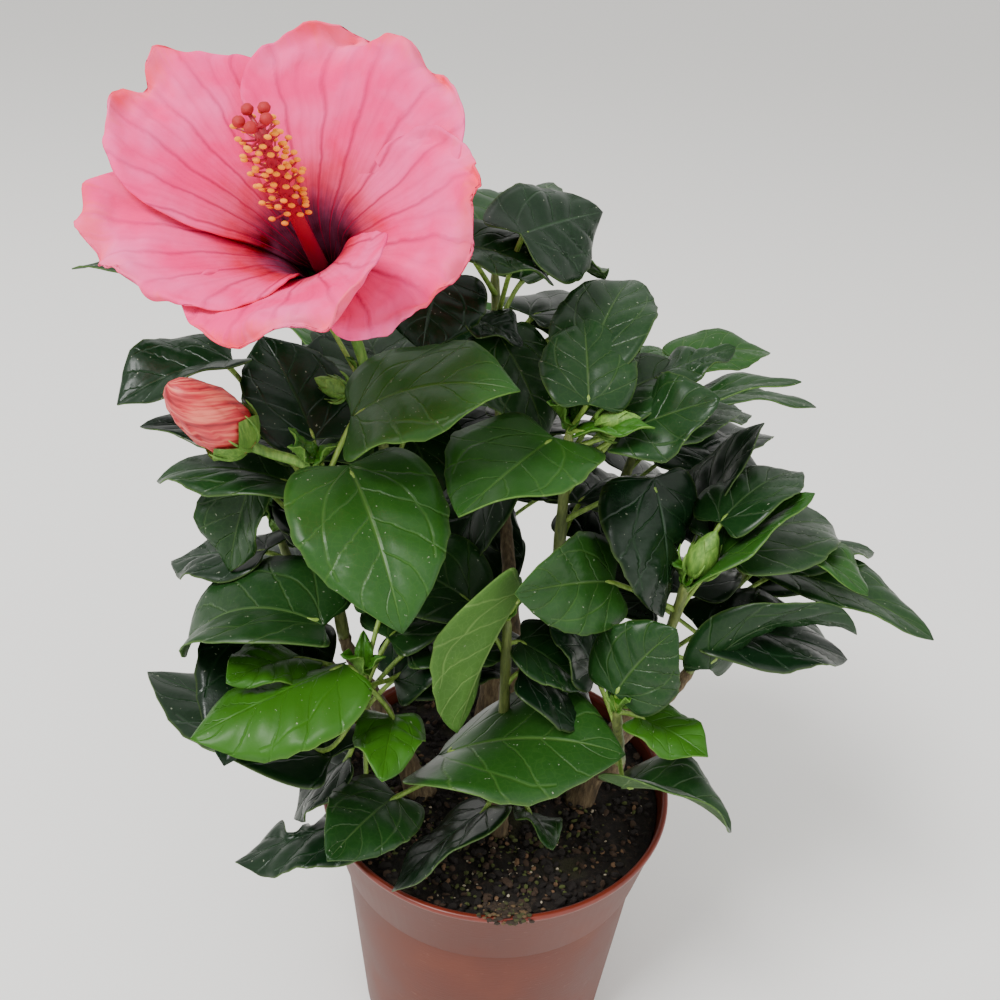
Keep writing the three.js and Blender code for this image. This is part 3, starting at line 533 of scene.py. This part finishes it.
def leaf_from(shoot, row):
    """A leaf's place and pose on its shoot, from a row of the table or of the drawn spiral."""
    at, b, r, stalk, bearing, rise, length, width, droop, roll, fold, twist, age = row
    node = Vector(shoot["start"]).lerp(Vector(shoot["tip"]), at)
    return dict(node=node, base=node + aim(b, r) * stalk, bearing=bearing, rise=rise, length=length,
                width=width, droop=droop, roll=roll, fold=fold, twist=twist, age=age)


def leaves_of(shoot):
    """The known leaves, then the spiral drawn from the shoot's seed."""
    leaves = [leaf_from(shoot, row) for row in shoot["leaves"]]
    draw, count = seeded(shoot["seed"]), len(shoot["spiral"])
    for i, step in enumerate(shoot["spiral"]):
        d = [draw() for _ in range(10)]
        if step == "x":
            continue
        at = lerp(0.12, 0.98, (i + 0.5) / count)
        turn = shoot["turn"] + SPIRAL_TURN * i + 30 * (d[0] - 0.5) + 40 * int(step)
        length = (46 + 18 * d[1]) * (1 - 0.2 * at)
        leaves.append(leaf_from(shoot, (
            at, turn, 20 + 35 * at + 15 * d[2], 14 + 12 * d[3], turn + 30 * (d[4] - 0.5),
            -5 + 35 * at + 20 * (d[5] - 0.5), length, length * (0.66 + 0.12 * d[6]), 25 + 30 * d[7],
            24 * (d[8] - 0.5), 10 * d[9], 0, (at >= 0.5) + (at >= 0.75 and not shoot["leaves"]))))
    return leaves


def rib_at(leaf, s):
    """The rib bends down evenly along an arc: its point, the way across and the way up."""
    b, r, bend = (math.radians(leaf[k]) for k in ("bearing", "rise", "droop"))
    a = r - bend * s
    out = leaf["length"] / bend * (math.sin(r) - math.sin(a))
    rise = leaf["length"] / bend * (math.cos(a) - math.cos(r))
    roll = math.radians(leaf["roll"] + leaf["twist"] * s)
    across = Vector((-math.sin(b), math.cos(b), 0))
    up = Vector((-math.sin(a) * math.cos(b), -math.sin(a) * math.sin(b), math.cos(a)))
    return (leaf["base"] + Vector((out * math.cos(b), out * math.sin(b), rise)),
            across * math.cos(roll) + up * math.sin(roll), up * math.cos(roll) - across * math.sin(roll))


def blade_points(leaf, shape, s, u):
    """A point of the blade on the rule's surface, with a wavy toothed margin and puffed skin."""
    wave, phase, quilt = shape
    point, across, up = rib_at(leaf, s - leaf_lag(s) * u * u)
    tooth = TOOTH * (1 - abs(2 * ((TEETH * s) % 1) - 1)) if s > 0.4 else 0
    half = leaf_width(s) * leaf["width"] / 2 * (1 + tooth * abs(u) ** 4)
    if u < 0:
        for at, run, depth in leaf.get("bites", ()):
            half *= 1 - depth * math.exp(-((s - at) / run) ** 4)
    fold, body = math.radians(leaf["fold"]), math.sin(math.pi * s)
    lift = abs(u) * half * math.sin(fold)
    waved = math.sin(WAVES * s + phase + (2.1 if u > 0 else 0))
    lift += wave * u * u * waved * math.sqrt(max(0, body))
    # the skin puffs up between the side veins and sinks at the rib
    puff = abs(math.sin(math.pi * (VEIN_PAIRS * (s - 0.3 * abs(u) ** 0.85) + 0.1)))
    lift += quilt * puff * math.sin(math.pi * min(1, abs(u))) * body
    lift -= GROOVE * math.exp(-(u / 0.09) ** 2) * (1 - s)
    return point + across * (u * half * math.cos(fold)) + up * lift


def laid_grid(bm, uv, rows, columns, ease, place, spread=lambda s: 1):
    """A grid laid on a surface: place(s, u) for s from 0 to 1 and u from -1 to 1. Ends that
    close to a point are merged. The UV map's v is u times the spread at s. Returns its faces."""
    grid = bmesh.ops.create_grid(bm, x_segments=rows, y_segments=columns, size=1)["verts"]
    spots = {vert: (ease(0.5 + vert.co.x / 2), max(-1, min(1, vert.co.y))) for vert in grid}
    faces = list(dict.fromkeys(face for vert in grid for face in vert.link_faces))
    for face in faces:
        for loop in face.loops:
            s, u = spots[loop.vert]
            loop[uv].uv = (s, (u * spread(s) + 1) / 2)
    for vert, spot in spots.items():
        vert.co = place(*spot)
    ends = [vert for vert, (s, u) in spots.items() if s < 1e-6 or s > 1 - 1e-6]
    bmesh.ops.remove_doubles(bm, verts=ends, dist=0.05)
    return [face for face in faces if face.is_valid]


def add_leaf(bm, uv, tone, leaf, draw, rows=30, columns=12):
    """Lays one blade with its own waves and its own tone, which is darker with age and, for some known
    leaves, darker with painted shade or lighter with a painted sheen.
    """
    shape = (0.8 + 1.8 * draw(), 6.3 * draw(), (0.8 + 0.9 * draw()) * (1.6 if leaf["fold"] <= -8 else 1))
    shade = min(0.97, max(0.03, leaf["age"] / 3.2 + 0.06 + 0.16 * (draw() - 0.5)))
    faces = laid_grid(bm, uv, rows, columns, lambda x: x ** 1.4,
                      lambda s, u: blade_points(leaf, shape, s, u))
    for face in faces:
        for vert in face.verts:
            vert[tone] = shade


# ---------------------------------------------------------------- the flower's rule
def funnel(t):
    """Reach and height of the petals' funnel, rounded through the rule's rows."""
    last = len(FUNNEL) - 1
    i = max(1, next((k for k, row in enumerate(FUNNEL) if row[0] >= t), last))
    before, a, b, after = FUNNEL[max(0, i - 2)], FUNNEL[i - 1], FUNNEL[i], FUNNEL[min(last, i + 1)]
    span = b[0] - a[0]
    k = (t - a[0]) / span
    found = []
    for j in (1, 2):
        leave = span * (b[j] - before[j]) / (b[0] - before[0])
        reach = span * (after[j] - a[j]) / (after[0] - a[0])
        found.append(a[j] * (2 * k ** 3 - 3 * k ** 2 + 1) + leave * (k ** 3 - 2 * k ** 2 + k)
                     + b[j] * (3 * k ** 2 - 2 * k ** 3) + reach * (k ** 3 - k ** 2))
    return found


def bloom_frame():
    """The flower's axis, the two directions across it and its throat."""
    axis, b = aim(BLOOM["bearing"], BLOOM["rise"]), math.radians(BLOOM["bearing"])
    across = Vector((-math.sin(b), math.cos(b), 0))
    return axis, across, axis.cross(across), Vector(BLOOM["seat"]) + axis * TUBE


def petal_at(petal, t, u):
    """A point of a petal, t from the throat to the margin and u from -1 to 1 across."""
    axis, across, over, throat = bloom_frame()
    base_reach, base_height = funnel(t)
    _, full_reach, full_height = FUNNEL[-1]
    place, margin, broad, rise, lean, side = PETALS[petal]
    opened = max(0, (t - 0.25) / 0.75)
    half = broad * t ** 1.15 * math.sqrt(max(0, 1 - t ** 5))
    half *= 1 + 0.07 * t * noise.noise(Vector((9 * t, 3 * u, 5.3 * petal)))
    edge = u * min(1, half / 15)
    reach = THROAT + (base_reach - THROAT) * (margin - THROAT) / (full_reach - THROAT)
    reach += side * edge * opened
    turn = math.radians(place) + u * half / max(reach, 6)
    lift = base_height * (rise / full_height if base_height > 0 else 1)
    lift += (PINWHEEL * min(1, 3 * t) + lean * opened ** 2) * edge
    lift += RUFFLE * t ** 5 * math.sin(5 * edge + 2 * petal)
    # frilled margin, notches and soft ribs, finer than the rule
    rim = max(t ** 6, t * t * abs(edge) ** 5)
    spot = Vector((u * half, reach, 40 * petal)) / FRILL
    lift += rim * (4.4 * noise.noise(spot) + 3.0 * noise.noise(spot * 2.4) + 1.3 * noise.noise(spot * 4.6))
    lift += 0.6 * opened * noise.noise(spot * 1.6)
    lift += 0.3 * opened * (1.1 - t) * math.cos(25 * u)
    reach += t ** 9 * (2.4 * noise.noise(spot * 1.5 + Vector((3, 1, 0))) + 1.6 * noise.noise(spot * 3.6))
    return throat + across * (reach * math.cos(turn)) + over * (reach * math.sin(turn)) + axis * lift


# ---------------------------------------------------------------- the plant
BARK_STOPS = [(0.3, "#3b3020"), (0.5, "#5d4d35"), (0.66, "#7c6b4d"), (0.8, "#9a8d70")]
bark_old = bark("woody bark, thin and grey-brown", BARK_STOPS, 0.8)
green_wood = bark("young green bark", [(0.3, "#3f4a22"), (0.5, "#5d6b30"), (0.7, "#7d8547")], 0.6)
stalk_skin = bark("leaf stalk skin, green", [(0.3, "#5c7a2c"), (0.5, "#7a9a3c"), (0.7, "#97ad55")], 0.5)
# the darkest tones are near black, partly as painted shade for the shaded leaves
leaf_top = leaf_face(
    "leaf, waxy upper side",
    [(0.0, "#051a09"), (0.25, "#0c2a0e"), (0.5, "#173a11"), (0.7, "#1f4812"), (0.95, "#2c5c0c")],
    ("#375636", "#6f9146", "#3f7412"), vein_share=0.34, roughness=0.3, dust=0.5)
leaf_under = leaf_face(
    "leaf, matt underside", [(0.0, "#1f3617"), (0.5, "#2f521d"), (0.95, "#4a7424")],
    ("#87a266", "#94b06c", "#8fb35c"), vein_share=0.5, roughness=0.55, dust=0.2)
sepal_skin = bark("calyx, downy green", [(0.3, "#3f661f"), (0.5, "#5a832d"), (0.7, "#7b9d42")], 0.6)
petal_skin = petal_face()
column_skin = plain("staminal column, rose red", "#a8122f", 0.5)
pollen = plain("pollen, dusty yellow", "#f59400", 0.9)
stigma = plain("stigma pads, velvety red", "#a80414", 0.7)
roll_skin = bud_face()


def stem_limb(bm, stem):
    """A stem flares at its foot, leans and tapers to a rounded fork, with low knots on the way."""
    foot, fork = Vector((*stem["foot"], SOIL_TOP - 2)), Vector(stem["fork"])
    rise, radius, top = fork.z - foot.z, stem["radius"], stem["top"]
    path, radii = [], []
    for i in range(25):
        k = i / 24
        path.append(foot.lerp(fork, k * (1 + 0.4 * top / rise)))
        body = lerp(radius, top, max(0, (k - 0.3) / 0.7))
        radii.append(body * (1 + 0.5 * math.exp(-k / 0.07)) * (1 + 0.05 * math.sin(22 * k + radius)))
    radii[-1] *= 0.6
    limb(bm, path, radii, 16)


def bough_path(shoot):
    """A bough's middle line, from inside its stem to the foot of its shoot."""
    stem = STEMS[shoot["stem"]]
    low, tip, end = Vector((*stem["foot"], SOIL_TOP)), Vector(stem["fork"]), Vector(shoot["start"])
    axis, hub = (tip - low).normalized(), low.lerp(tip, shoot["off"])
    run, out = (Vector(shoot["tip"]) - end).normalized(), end - hub
    far = out.length
    if shoot["off"] < 1:
        out = (out - axis * out.dot(axis)).normalized() + axis * 0.35
        slide = lerp(stem["radius"], stem["top"], shoot["off"])
    else:
        out, slide = out.normalized() + axis, 0.5 * stem["top"]
    out.normalize()
    start = hub + out * (slide * 0.3)
    return bezier(start, hub + out * (slide + 0.3 * far), end - run * (0.3 * far), end, 16)


def roughen(verts, depth, grain):
    """Moves a limb's skin in and out by a seeded noise."""
    for vert in verts:
        vert.co += vert.normal * (depth * noise.noise(vert.co * grain))


bm = bmesh.new()
for stem in STEMS.values():
    stem_limb(bm, stem)
for shoot in SHOOTS.values():
    if shoot["off"] is not None:
        radii = [lerp(BOUGH_RADIUS, SHOOT_RADIUS, (i / 16) ** 0.6) * (1 + 0.05 * math.sin(3 * i))
                 for i in range(17)]
        limb(bm, bough_path(shoot), radii, 12)
bm.normal_update()
roughen(bm.verts, 0.55, 0.35)
woody = [f"stem_{name}" for name in STEMS]
woody += [f"bough_{name}" for name, shoot in SHOOTS.items() if shoot["off"] is not None]
piece("woody stems and boughs", bm, [bark_old], woody)

shoots, stalks = bmesh.new(), bmesh.new()
for name, shoot in SHOOTS.items():
    draw = seeded(shoot["seed"] + 500)
    leaves = leaves_of(shoot)
    start, tip = Vector(shoot["start"]), Vector(shoot["tip"])
    run = (tip - start).normalized()
    path, radii = [], []
    for i in range(21):
        k = i / 20
        path.append(start - run * 0.6 + (tip - start + run * 1.4) * k)
        knots = 1 + 0.07 * math.sin(19 * k)
        radii.append(lerp(SHOOT_RADIUS, TIP_RADIUS, k) * knots * (0.5 if i == 20 else 1))
    limb(shoots, path, radii, 10)
    bm = bmesh.new()
    uv, tone = bm.loops.layers.uv.new("leaf"), bm.verts.layers.float.new("tone")
    for i, leaf in enumerate(leaves):
        if (name, i) == NIBBLED:
            leaf["bites"] = BITES
        add_leaf(bm, uv, tone, leaf, draw, rows=90 if "bites" in leaf else 30)
        near = leaf["base"] + (leaf["node"] - leaf["base"]) * 0.3 + Vector((0, 0, 0.8))
        rib, _, up = rib_at(leaf, 0.1)
        path = bezier(leaf["node"], near, leaf["base"] - up * 0.5, rib - up * 0.6, 9)
        limb(stalks, path, STALK_RADII, 8)
    # the newest leaves, still small and folded round the shoot's tip
    for k in range(3):
        turn = shoot["turn"] + SPIRAL_TURN * k + 40 * draw()
        length = 9 + 5 * draw()
        young = dict(node=tip, base=tip + aim(turn, 60) * 1.2, bearing=turn, rise=70 - 12 * draw(),
                     length=length, width=length * 0.5, droop=25, roll=0, fold=28, twist=0, age=3)
        add_leaf(bm, uv, tone, young, draw, rows=12, columns=6)
    blades = piece(f"leaves of the {name.replace('_', ' ')} shoot", bm, [leaf_top, leaf_under],
                   [f"leaves_{name}"])
    thicken(blades, BLADE_THICK, under=1)
piece("green shoots", shoots, [green_wood], [f"leaves_{name}" for name in SHOOTS])
piece("leaf stalks", stalks, [stalk_skin], [f"leaves_{name}" for name in SHOOTS])


# ---------------------------------------------------------------- buds and flower
def lobed_cup(bm, profile, place, lobes, tall, steps=40):
    """A turned cup whose rim rises into pointed lobes."""
    height = profile[-1][1]
    verts = turned(bm, profile, steps)
    for vert in verts:
        part = max(0, vert.co.z / height - 0.55) / 0.45
        angle = math.atan2(vert.co.y, vert.co.x) * lobes / (2 * math.pi)
        point = 1 - abs(2 * (angle % 1) - 1)
        vert.co.z += part * tall * (point ** 0.8 - 0.25)
        vert.co.xy *= 1 + 0.06 * part * math.cos(2 * math.pi * angle)
    bmesh.ops.transform(bm, matrix=place, verts=verts)


def green_bud(bm, seat, axis, length):
    """A closed bud: an ovoid in a lobed calyx, with thin bracts spreading under it."""
    place, L = place_on(seat, axis), length
    ovoid = [(0, -0.1), (0.16, 0), (0.25, 0.18), (0.275, 0.4), (0.22, 0.65), (0.12, 0.86), (0, 1)]
    calyx = [(0, -0.11), (0.17, -0.02), (0.27, 0.17), (0.295, 0.4), (0.25, 0.6)]
    turned(bm, [(r * L, h * L) for r, h in ovoid], 20, place)
    lobed_cup(bm, [(r * L, h * L) for r, h in calyx], place, 5, 0.22 * L, 30)
    bracts(bm, place, 0.16 * L, 0.5 * L)


def bracts(bm, place, root, length):
    """Seven thin bracts that spread and curve up round a calyx."""
    for k in range(7):
        angle = 2 * math.pi * k / 7
        out = Vector((math.cos(angle), math.sin(angle), 0))
        points = [out * root, out * (root + 0.35 * length) + Vector((0, 0, 0.1 * length)),
                  out * (root + 0.6 * length) + Vector((0, 0, 0.45 * length)),
                  out * (root + 0.62 * length) + Vector((0, 0, 0.85 * length))]
        path = [place @ p for p in bezier(*points, 6)]
        limb(bm, path, [0.6, 0.7, 0.65, 0.55, 0.45, 0.35, 0.15], 6)


buds = bmesh.new()
for bud in BUDS:
    shoot = SHOOTS[bud["shoot"]]
    node = Vector(shoot["start"]).lerp(Vector(shoot["tip"]), bud["at"])
    axis = aim(bud["bearing"], bud["rise"])
    seat = node + axis * bud["stalk"]
    limb(buds, [node.lerp(seat, k / 5) for k in range(6)], [1.2, 1.0, 0.95, 0.95, 1.05, 1.3], 8)
    green_bud(buds, seat, axis, bud["length"])
bmesh.ops.recalc_face_normals(buds, faces=buds.faces)
piece("green flower buds", buds, [sepal_skin], sorted({f"leaves_{b['shoot']}" for b in BUDS}))

axis, across, over, throat = bloom_frame()
seat = Vector(BLOOM["seat"])
bm = bmesh.new()
uv = bm.loops.layers.uv.new("petal")
for petal in range(5):
    laid_grid(bm, uv, 64, 60, lambda x: 0.03 + 0.97 * (1 - (1 - x) ** 1.8),
              lambda t, u: petal_at(petal, t, u),
              lambda t: math.sqrt(max(0, 1 - t ** 5)) * (1.12 - 0.25 * t))
thicken(piece("petals", bm, [petal_skin], ["bloom"]), PETAL_THICK)

shoot = SHOOTS["flower"]
foot, run = Vector(shoot["tip"]), (Vector(shoot["tip"]) - Vector(shoot["start"])).normalized()
bm = bmesh.new()
path = bezier(foot - run * 1.5, foot + run * 14, seat - axis * 12, seat + axis * 2, 14)
limb(bm, path, [lerp(1.65, 1.7, i / 14) + (0.7 if i > 12 else 0) for i in range(15)], 12)
place = place_on(seat, axis)
lobed_cup(bm, [(0, -1), (2.6, 0), (5.2, 1.8), (7.2, 5), (8.1, 10), (8.0, 14), (8.6, 20)], place, 5, 5)
bracts(bm, place, 3, 12)
bmesh.ops.recalc_face_normals(bm, faces=bm.faces)
piece("flower stalk and calyx", bm, [sepal_skin], ["bloom"])

along = aim(BLOOM["column_bearing"], BLOOM["column_rise"])
foot, length = throat - axis * COLUMN["sunk"], COLUMN["length"]
column, anthers, pads = bmesh.new(), bmesh.new(), bmesh.new()


def on_column(far):
    """A point of the column's middle line, which sags a little."""
    return foot + along * far - Vector((0, 0, COLUMN["sag"])) * math.sin(math.pi * far / length)


limb(column, [on_column(length * i / 20) for i in range(21)],
     [lerp(COLUMN["radius"], COLUMN["tip_radius"], i / 20) for i in range(21)], 14)
place = place_on(Vector(), along)
draw = seeded(77)
for k in range(COLUMN["stamens"]):
    out = place @ Vector((math.cos(2.4 * k), math.sin(2.4 * k), 0))
    start = on_column(lerp(COLUMN["bare"], length - 1, (k + 0.5) / COLUMN["stamens"]))
    reach = 3.8 + 2.5 * draw()
    end = start + out * reach + along * (1.0 + 1.4 * draw())
    limb(column, bezier(start, start + out * reach * 0.5, end - along * 0.6, end, 4), [0.28] * 5, 5)
    tumble = Matrix.Translation(end) @ Matrix.Rotation(6.3 * draw(), 4, "X")
    bmesh.ops.create_icosphere(anthers, subdivisions=2, radius=COLUMN["anther"],
                               matrix=tumble @ Matrix.Diagonal((1.25, 0.85, 0.8, 1)))
for k in range(COLUMN["pads"]):
    turn = 2 * math.pi * k / COLUMN["pads"]
    out = place @ Vector((math.cos(turn), math.sin(turn), 0))
    start, end = on_column(length - 1), on_column(length - 1) + out * 3.5 + along * 3.2
    limb(column, bezier(start, start + along * 2, end - along * 1.5, end, 5), [0.55] * 6, 7)
    spot = Matrix.Translation(end + along * 0.7) @ place
    bmesh.ops.create_icosphere(pads, subdivisions=3, radius=COLUMN["pad"],
                               matrix=spot @ Matrix.Diagonal((1, 1, 0.8, 1)))
roughen(pads.verts, 0.25, 3.0)
piece("staminal column", column, [column_skin], ["bloom"])
piece("anthers", anthers, [pollen], ["bloom"])
piece("stigma pads", pads, [stigma], ["bloom"])

# the opening bud: petals still rolled in a spiral, in their calyx
axis, seat = aim(OPENING["bearing"], OPENING["rise"]), Vector(OPENING["seat"])
L, R = OPENING["length"], OPENING["radius"]
place = place_on(seat, axis)
bm = bmesh.new()
uv = bm.loops.layers.uv.new("roll")
profile = [(0.45, 0.02), (0.74, 0.12), (0.93, 0.26), (1, 0.42), (0.95, 0.58), (0.82, 0.72),
           (0.64, 0.85), (0.4, 0.95), (0.16, 0.99), (0, 1)]
turned(bm, [(0, -0.5)] + [(r * R, h * L) for r, h in profile], 60)
for vert in bm.verts:
    # five petals overlap, each edge standing out a little, and wind up the bud
    h = vert.co.z / L
    turn = (math.atan2(vert.co.y, vert.co.x) / (2 * math.pi) * 5 + 2.6 * h) % 1
    vert.co.xy *= 1 + (0.13 * turn - 0.06) * min(1, 2 * h + 0.2)
for face in bm.faces:
    for loop in face.loops:
        co = loop.vert.co
        loop[uv].uv = (co.z / L, (math.atan2(co.y, co.x) / 6.283 + 0.55 * co.z / L) % 1)
bmesh.ops.transform(bm, matrix=place, verts=bm.verts)
bmesh.ops.recalc_face_normals(bm, faces=bm.faces)
piece("rolled petals of the opening bud", bm, [roll_skin], ["opening_bud"])
bm = bmesh.new()
shoot = SHOOTS["upper_left"]
foot, run = Vector(shoot["tip"]), (Vector(shoot["tip"]) - Vector(shoot["start"])).normalized()
limb(bm, bezier(foot - run * 1.5, foot + run * 6, seat - axis * 8, seat + axis * 2, 12),
     [TIP_RADIUS] * 11 + [1.8, 2.0], 12)
lobed_cup(bm, [(0, -0.8), (2.4, 0), (0.62 * R, 1.4), (0.9 * R, 3.2), (1.1 * R, 6.8)], place, 5, 4)
bracts(bm, place, 2.6, 11)
bmesh.ops.recalc_face_normals(bm, faces=bm.faces)
piece("calyx and stalk of the opening bud", bm, [sepal_skin], ["opening_bud"])


# ---------------------------------------------------------------- pot and soil
height, rim, collar_foot, base = POT["height"], POT["rim"], POT["collar_foot"], POT["base"]
thick, floor_top = POT["wall"], POT["floor"]
mouth, knee = height - POT["lip"], height - POT["collar"]
collar_top, step = rim - 0.7, collar_foot - POT["step"]
inner = collar_top - thick
FLOOR_FOOT = 0.5                     # the floor's underside stands this far above the foot ring

wall = [(base - 1.6, 0), (base - 0.7, 0.1), (base - 0.15, 0.6), (base + 0.1, 1.6),
        (step, knee - 1.4), (step + 0.1, knee - 0.8), (step + 0.5, knee - 0.5),
        (collar_foot - 0.5, knee - 0.15), (collar_foot, knee + 0.4),
        (rim - 1.0, mouth - 1.1), (collar_top, mouth - 0.6), (rim - 0.15, mouth - 0.15),
        (rim, mouth + 0.4), (rim - 0.1, height - 0.4), (rim - 0.6, height), (rim - 1.6, height),
        (inner + 0.15, height - 0.5), (inner, mouth - 0.8), (collar_foot - thick, knee + 0.4),
        (step - thick, knee - 1.6), (base - thick, floor_top)]
bm = bmesh.new()
ring = [bm.verts.new((r, 0, h)) for r, h in wall]
edges = [bm.edges.new(pair) for pair in zip(ring, ring[1:] + ring[:1])]
bmesh.ops.spin(bm, geom=ring + edges, cent=(0, 0, 0), axis=(0, 0, 1), angle=2 * math.pi, steps=96,
               use_merge=True)
# the floor is pierced with drainage holes
rounds = bmesh.ops.create_circle(bm, segments=64, radius=base - 0.9,
                                 matrix=Matrix.Translation((0, 0, FLOOR_FOOT)))["verts"]
for k in range(POT["holes"]):
    turn = 2 * math.pi * (k + 0.5) / POT["holes"]
    far = POT["hole_circle"]
    spot = Matrix.Translation((far * math.cos(turn), far * math.sin(turn), FLOOR_FOOT))
    rounds += bmesh.ops.create_circle(bm, segments=24, radius=POT["hole_radius"], matrix=spot)["verts"]
edges = list(dict.fromkeys(edge for vert in rounds for edge in vert.link_edges))
filled = bmesh.ops.triangle_fill(bm, edges=edges, use_beauty=True)["geom"]
underside = [g for g in filled if isinstance(g, bmesh.types.BMFace)]
raised = bmesh.ops.extrude_face_region(bm, geom=underside, use_keep_orig=True)["geom"]
bmesh.ops.translate(bm, vec=(0, 0, floor_top - FLOOR_FOOT),
                    verts=[g for g in raised if isinstance(g, bmesh.types.BMVert)])
bmesh.ops.recalc_face_normals(bm, faces=bm.faces)
for face in bm.faces:
    if face.calc_center_median().z > mouth - 0.5:
        face.material_index = 1
piece("pot", bm, [pot_plastic(), rim_plastic()], ["pot"])

edge = lerp(collar_foot, collar_top, (SOIL_EDGE - knee) / POT["collar"]) - thick - 0.2
bm = bmesh.new()
profile = [(0, floor_top + 0.3), (base - thick - 0.5, floor_top + 0.3), (step - thick - 0.4, knee - 1.3),
           (collar_foot - thick - 0.4, knee + 0.7), (edge, SOIL_EDGE - 0.6)]
profile += [(edge * (1 - k / 22), lerp(SOIL_EDGE, SOIL_TOP, min(1, k / 5))) for k in range(1, 22)]
turned(bm, profile + [(0, SOIL_TOP)], 72)
bmesh.ops.recalc_face_normals(bm, faces=bm.faces)
for vert in bm.verts:
    if vert.co.z > SOIL_EDGE - 0.2 and vert.co.xy.length < edge - 1:
        vert.co.z += 1.3 * noise.noise(vert.co * 0.09) + 0.9 * noise.noise(vert.co * 0.3) - 0.4
piece("soil", bm, [soil_mix()], ["soil"])

draw = seeded(5)
strewn = edge - 2.2                  # the grains keep clear of the wall
for name, tint, count, size, front in GRAINS:
    bm = bmesh.new()
    for _ in range(count):
        far, turn = strewn * math.sqrt(draw()), 6.283 * draw()
        if draw() < front:
            far = strewn * (0.45 + 0.52 * draw())
            turn = math.radians(-90 + 110 * (draw() + draw() - 1))
        r = size * (0.35 + 0.85 * draw())
        spot = Matrix.Translation((far * math.cos(turn), far * math.sin(turn), SOIL_TOP + 0.1 + 0.3 * r))
        tumble = Matrix.Rotation(6.3 * draw(), 4, "X") @ Matrix.Rotation(6.3 * draw(), 4, "Z")
        half_sizes = (0.8 + 0.8 * draw(), 0.6 + 0.5 * draw(), 0.4 + 0.4 * draw())
        shape = Matrix.Diagonal((*(r * half for half in half_sizes), 1))
        bmesh.ops.create_icosphere(bm, subdivisions=1, radius=1, matrix=spot @ tumble @ shape)
    roughen(bm.verts, 0.2, 1.3)
    piece(name, bm, [plain(name, tint, 0.9)], ["soil"], smooth=False)

for name, tint, count in SPILT:
    bm = bmesh.new()
    for _ in range(count):
        turn = math.radians(SPILT_BEARING + SPILT_SPREAD * (draw() + draw() - 1))
        fall = draw() * draw()
        far, high = rim - 5 + 5.6 * min(1, 1.6 * fall), height + 0.6 - 6 * max(0, fall - 0.5)
        r = 0.3 + 0.65 * draw()
        high += 1.4 * draw() * (1 - fall)
        spot = Matrix.Translation((far * math.cos(turn), far * math.sin(turn), high))
        tumble = Matrix.Rotation(6.3 * draw(), 4, "X") @ Matrix.Diagonal((1.3, 0.9, 0.7, 1))
        bmesh.ops.create_icosphere(bm, subdivisions=1, radius=r, matrix=spot @ tumble)
    roughen(bm.verts, 0.2, 1.7)
    piece(name, bm, [plain(name, tint, 0.95)], ["soil"], smooth=False)


# ---------------------------------------------------------------- stage, light and camera
FLOOR_REACH = 30             # metres from the plant to the floor's edge, out of sight
bm = bmesh.new()
bmesh.ops.create_grid(bm, x_segments=1, y_segments=1, size=FLOOR_REACH)
mesh = bpy.data.meshes.new("floor")
bm.to_mesh(mesh)
bm.free()
floor = bpy.data.objects.new("floor", mesh)
mesh.materials.append(plain("studio floor, matt pale grey", "#f3f2ef", 0.9))
bpy.context.collection.objects.link(floor)

scene = bpy.context.scene
world = bpy.data.worlds.new("soft studio")
world.use_nodes = True
feed(world.node_tree.nodes["Background"], {"Color": colour("#f1f0ee"), "Strength": 1.15})
scene.world = world
# lamps: name, place, size and power
for name, spot, size, power in (("key", (-0.9, -0.9, 2.0), 0.8, 58),
                                ("fill", (1.5, -1.0, 1.0), 1.6, 12)):
    lamp = bpy.data.lights.new(name, "AREA")
    lamp.size, lamp.energy = size, power
    light = bpy.data.objects.new(name, lamp)
    light.location = spot
    light.rotation_euler = (Vector((0, 0, 0.2)) - Vector(spot)).to_track_quat("-Z", "Y").to_euler()
    bpy.context.collection.objects.link(light)

# the camera stands in front of the plant and looks down on it: its place and its turned axes
CAMERA_SPOT = (0, -280.1 * MM, 390.4 * MM)
CAMERA_TURN = ((0.9972, -0.0732, 0.0161), (0.0497, 0.4863, -0.8724), (0.0560, 0.8707, 0.4886))
lens = bpy.data.cameras.new("camera")
lens.sensor_width = lens.lens = 36
camera = bpy.data.objects.new("camera", lens)
camera.matrix_world = Matrix.Translation(CAMERA_SPOT) @ Matrix(CAMERA_TURN).to_4x4()
bpy.context.collection.objects.link(camera)
scene.camera = camera
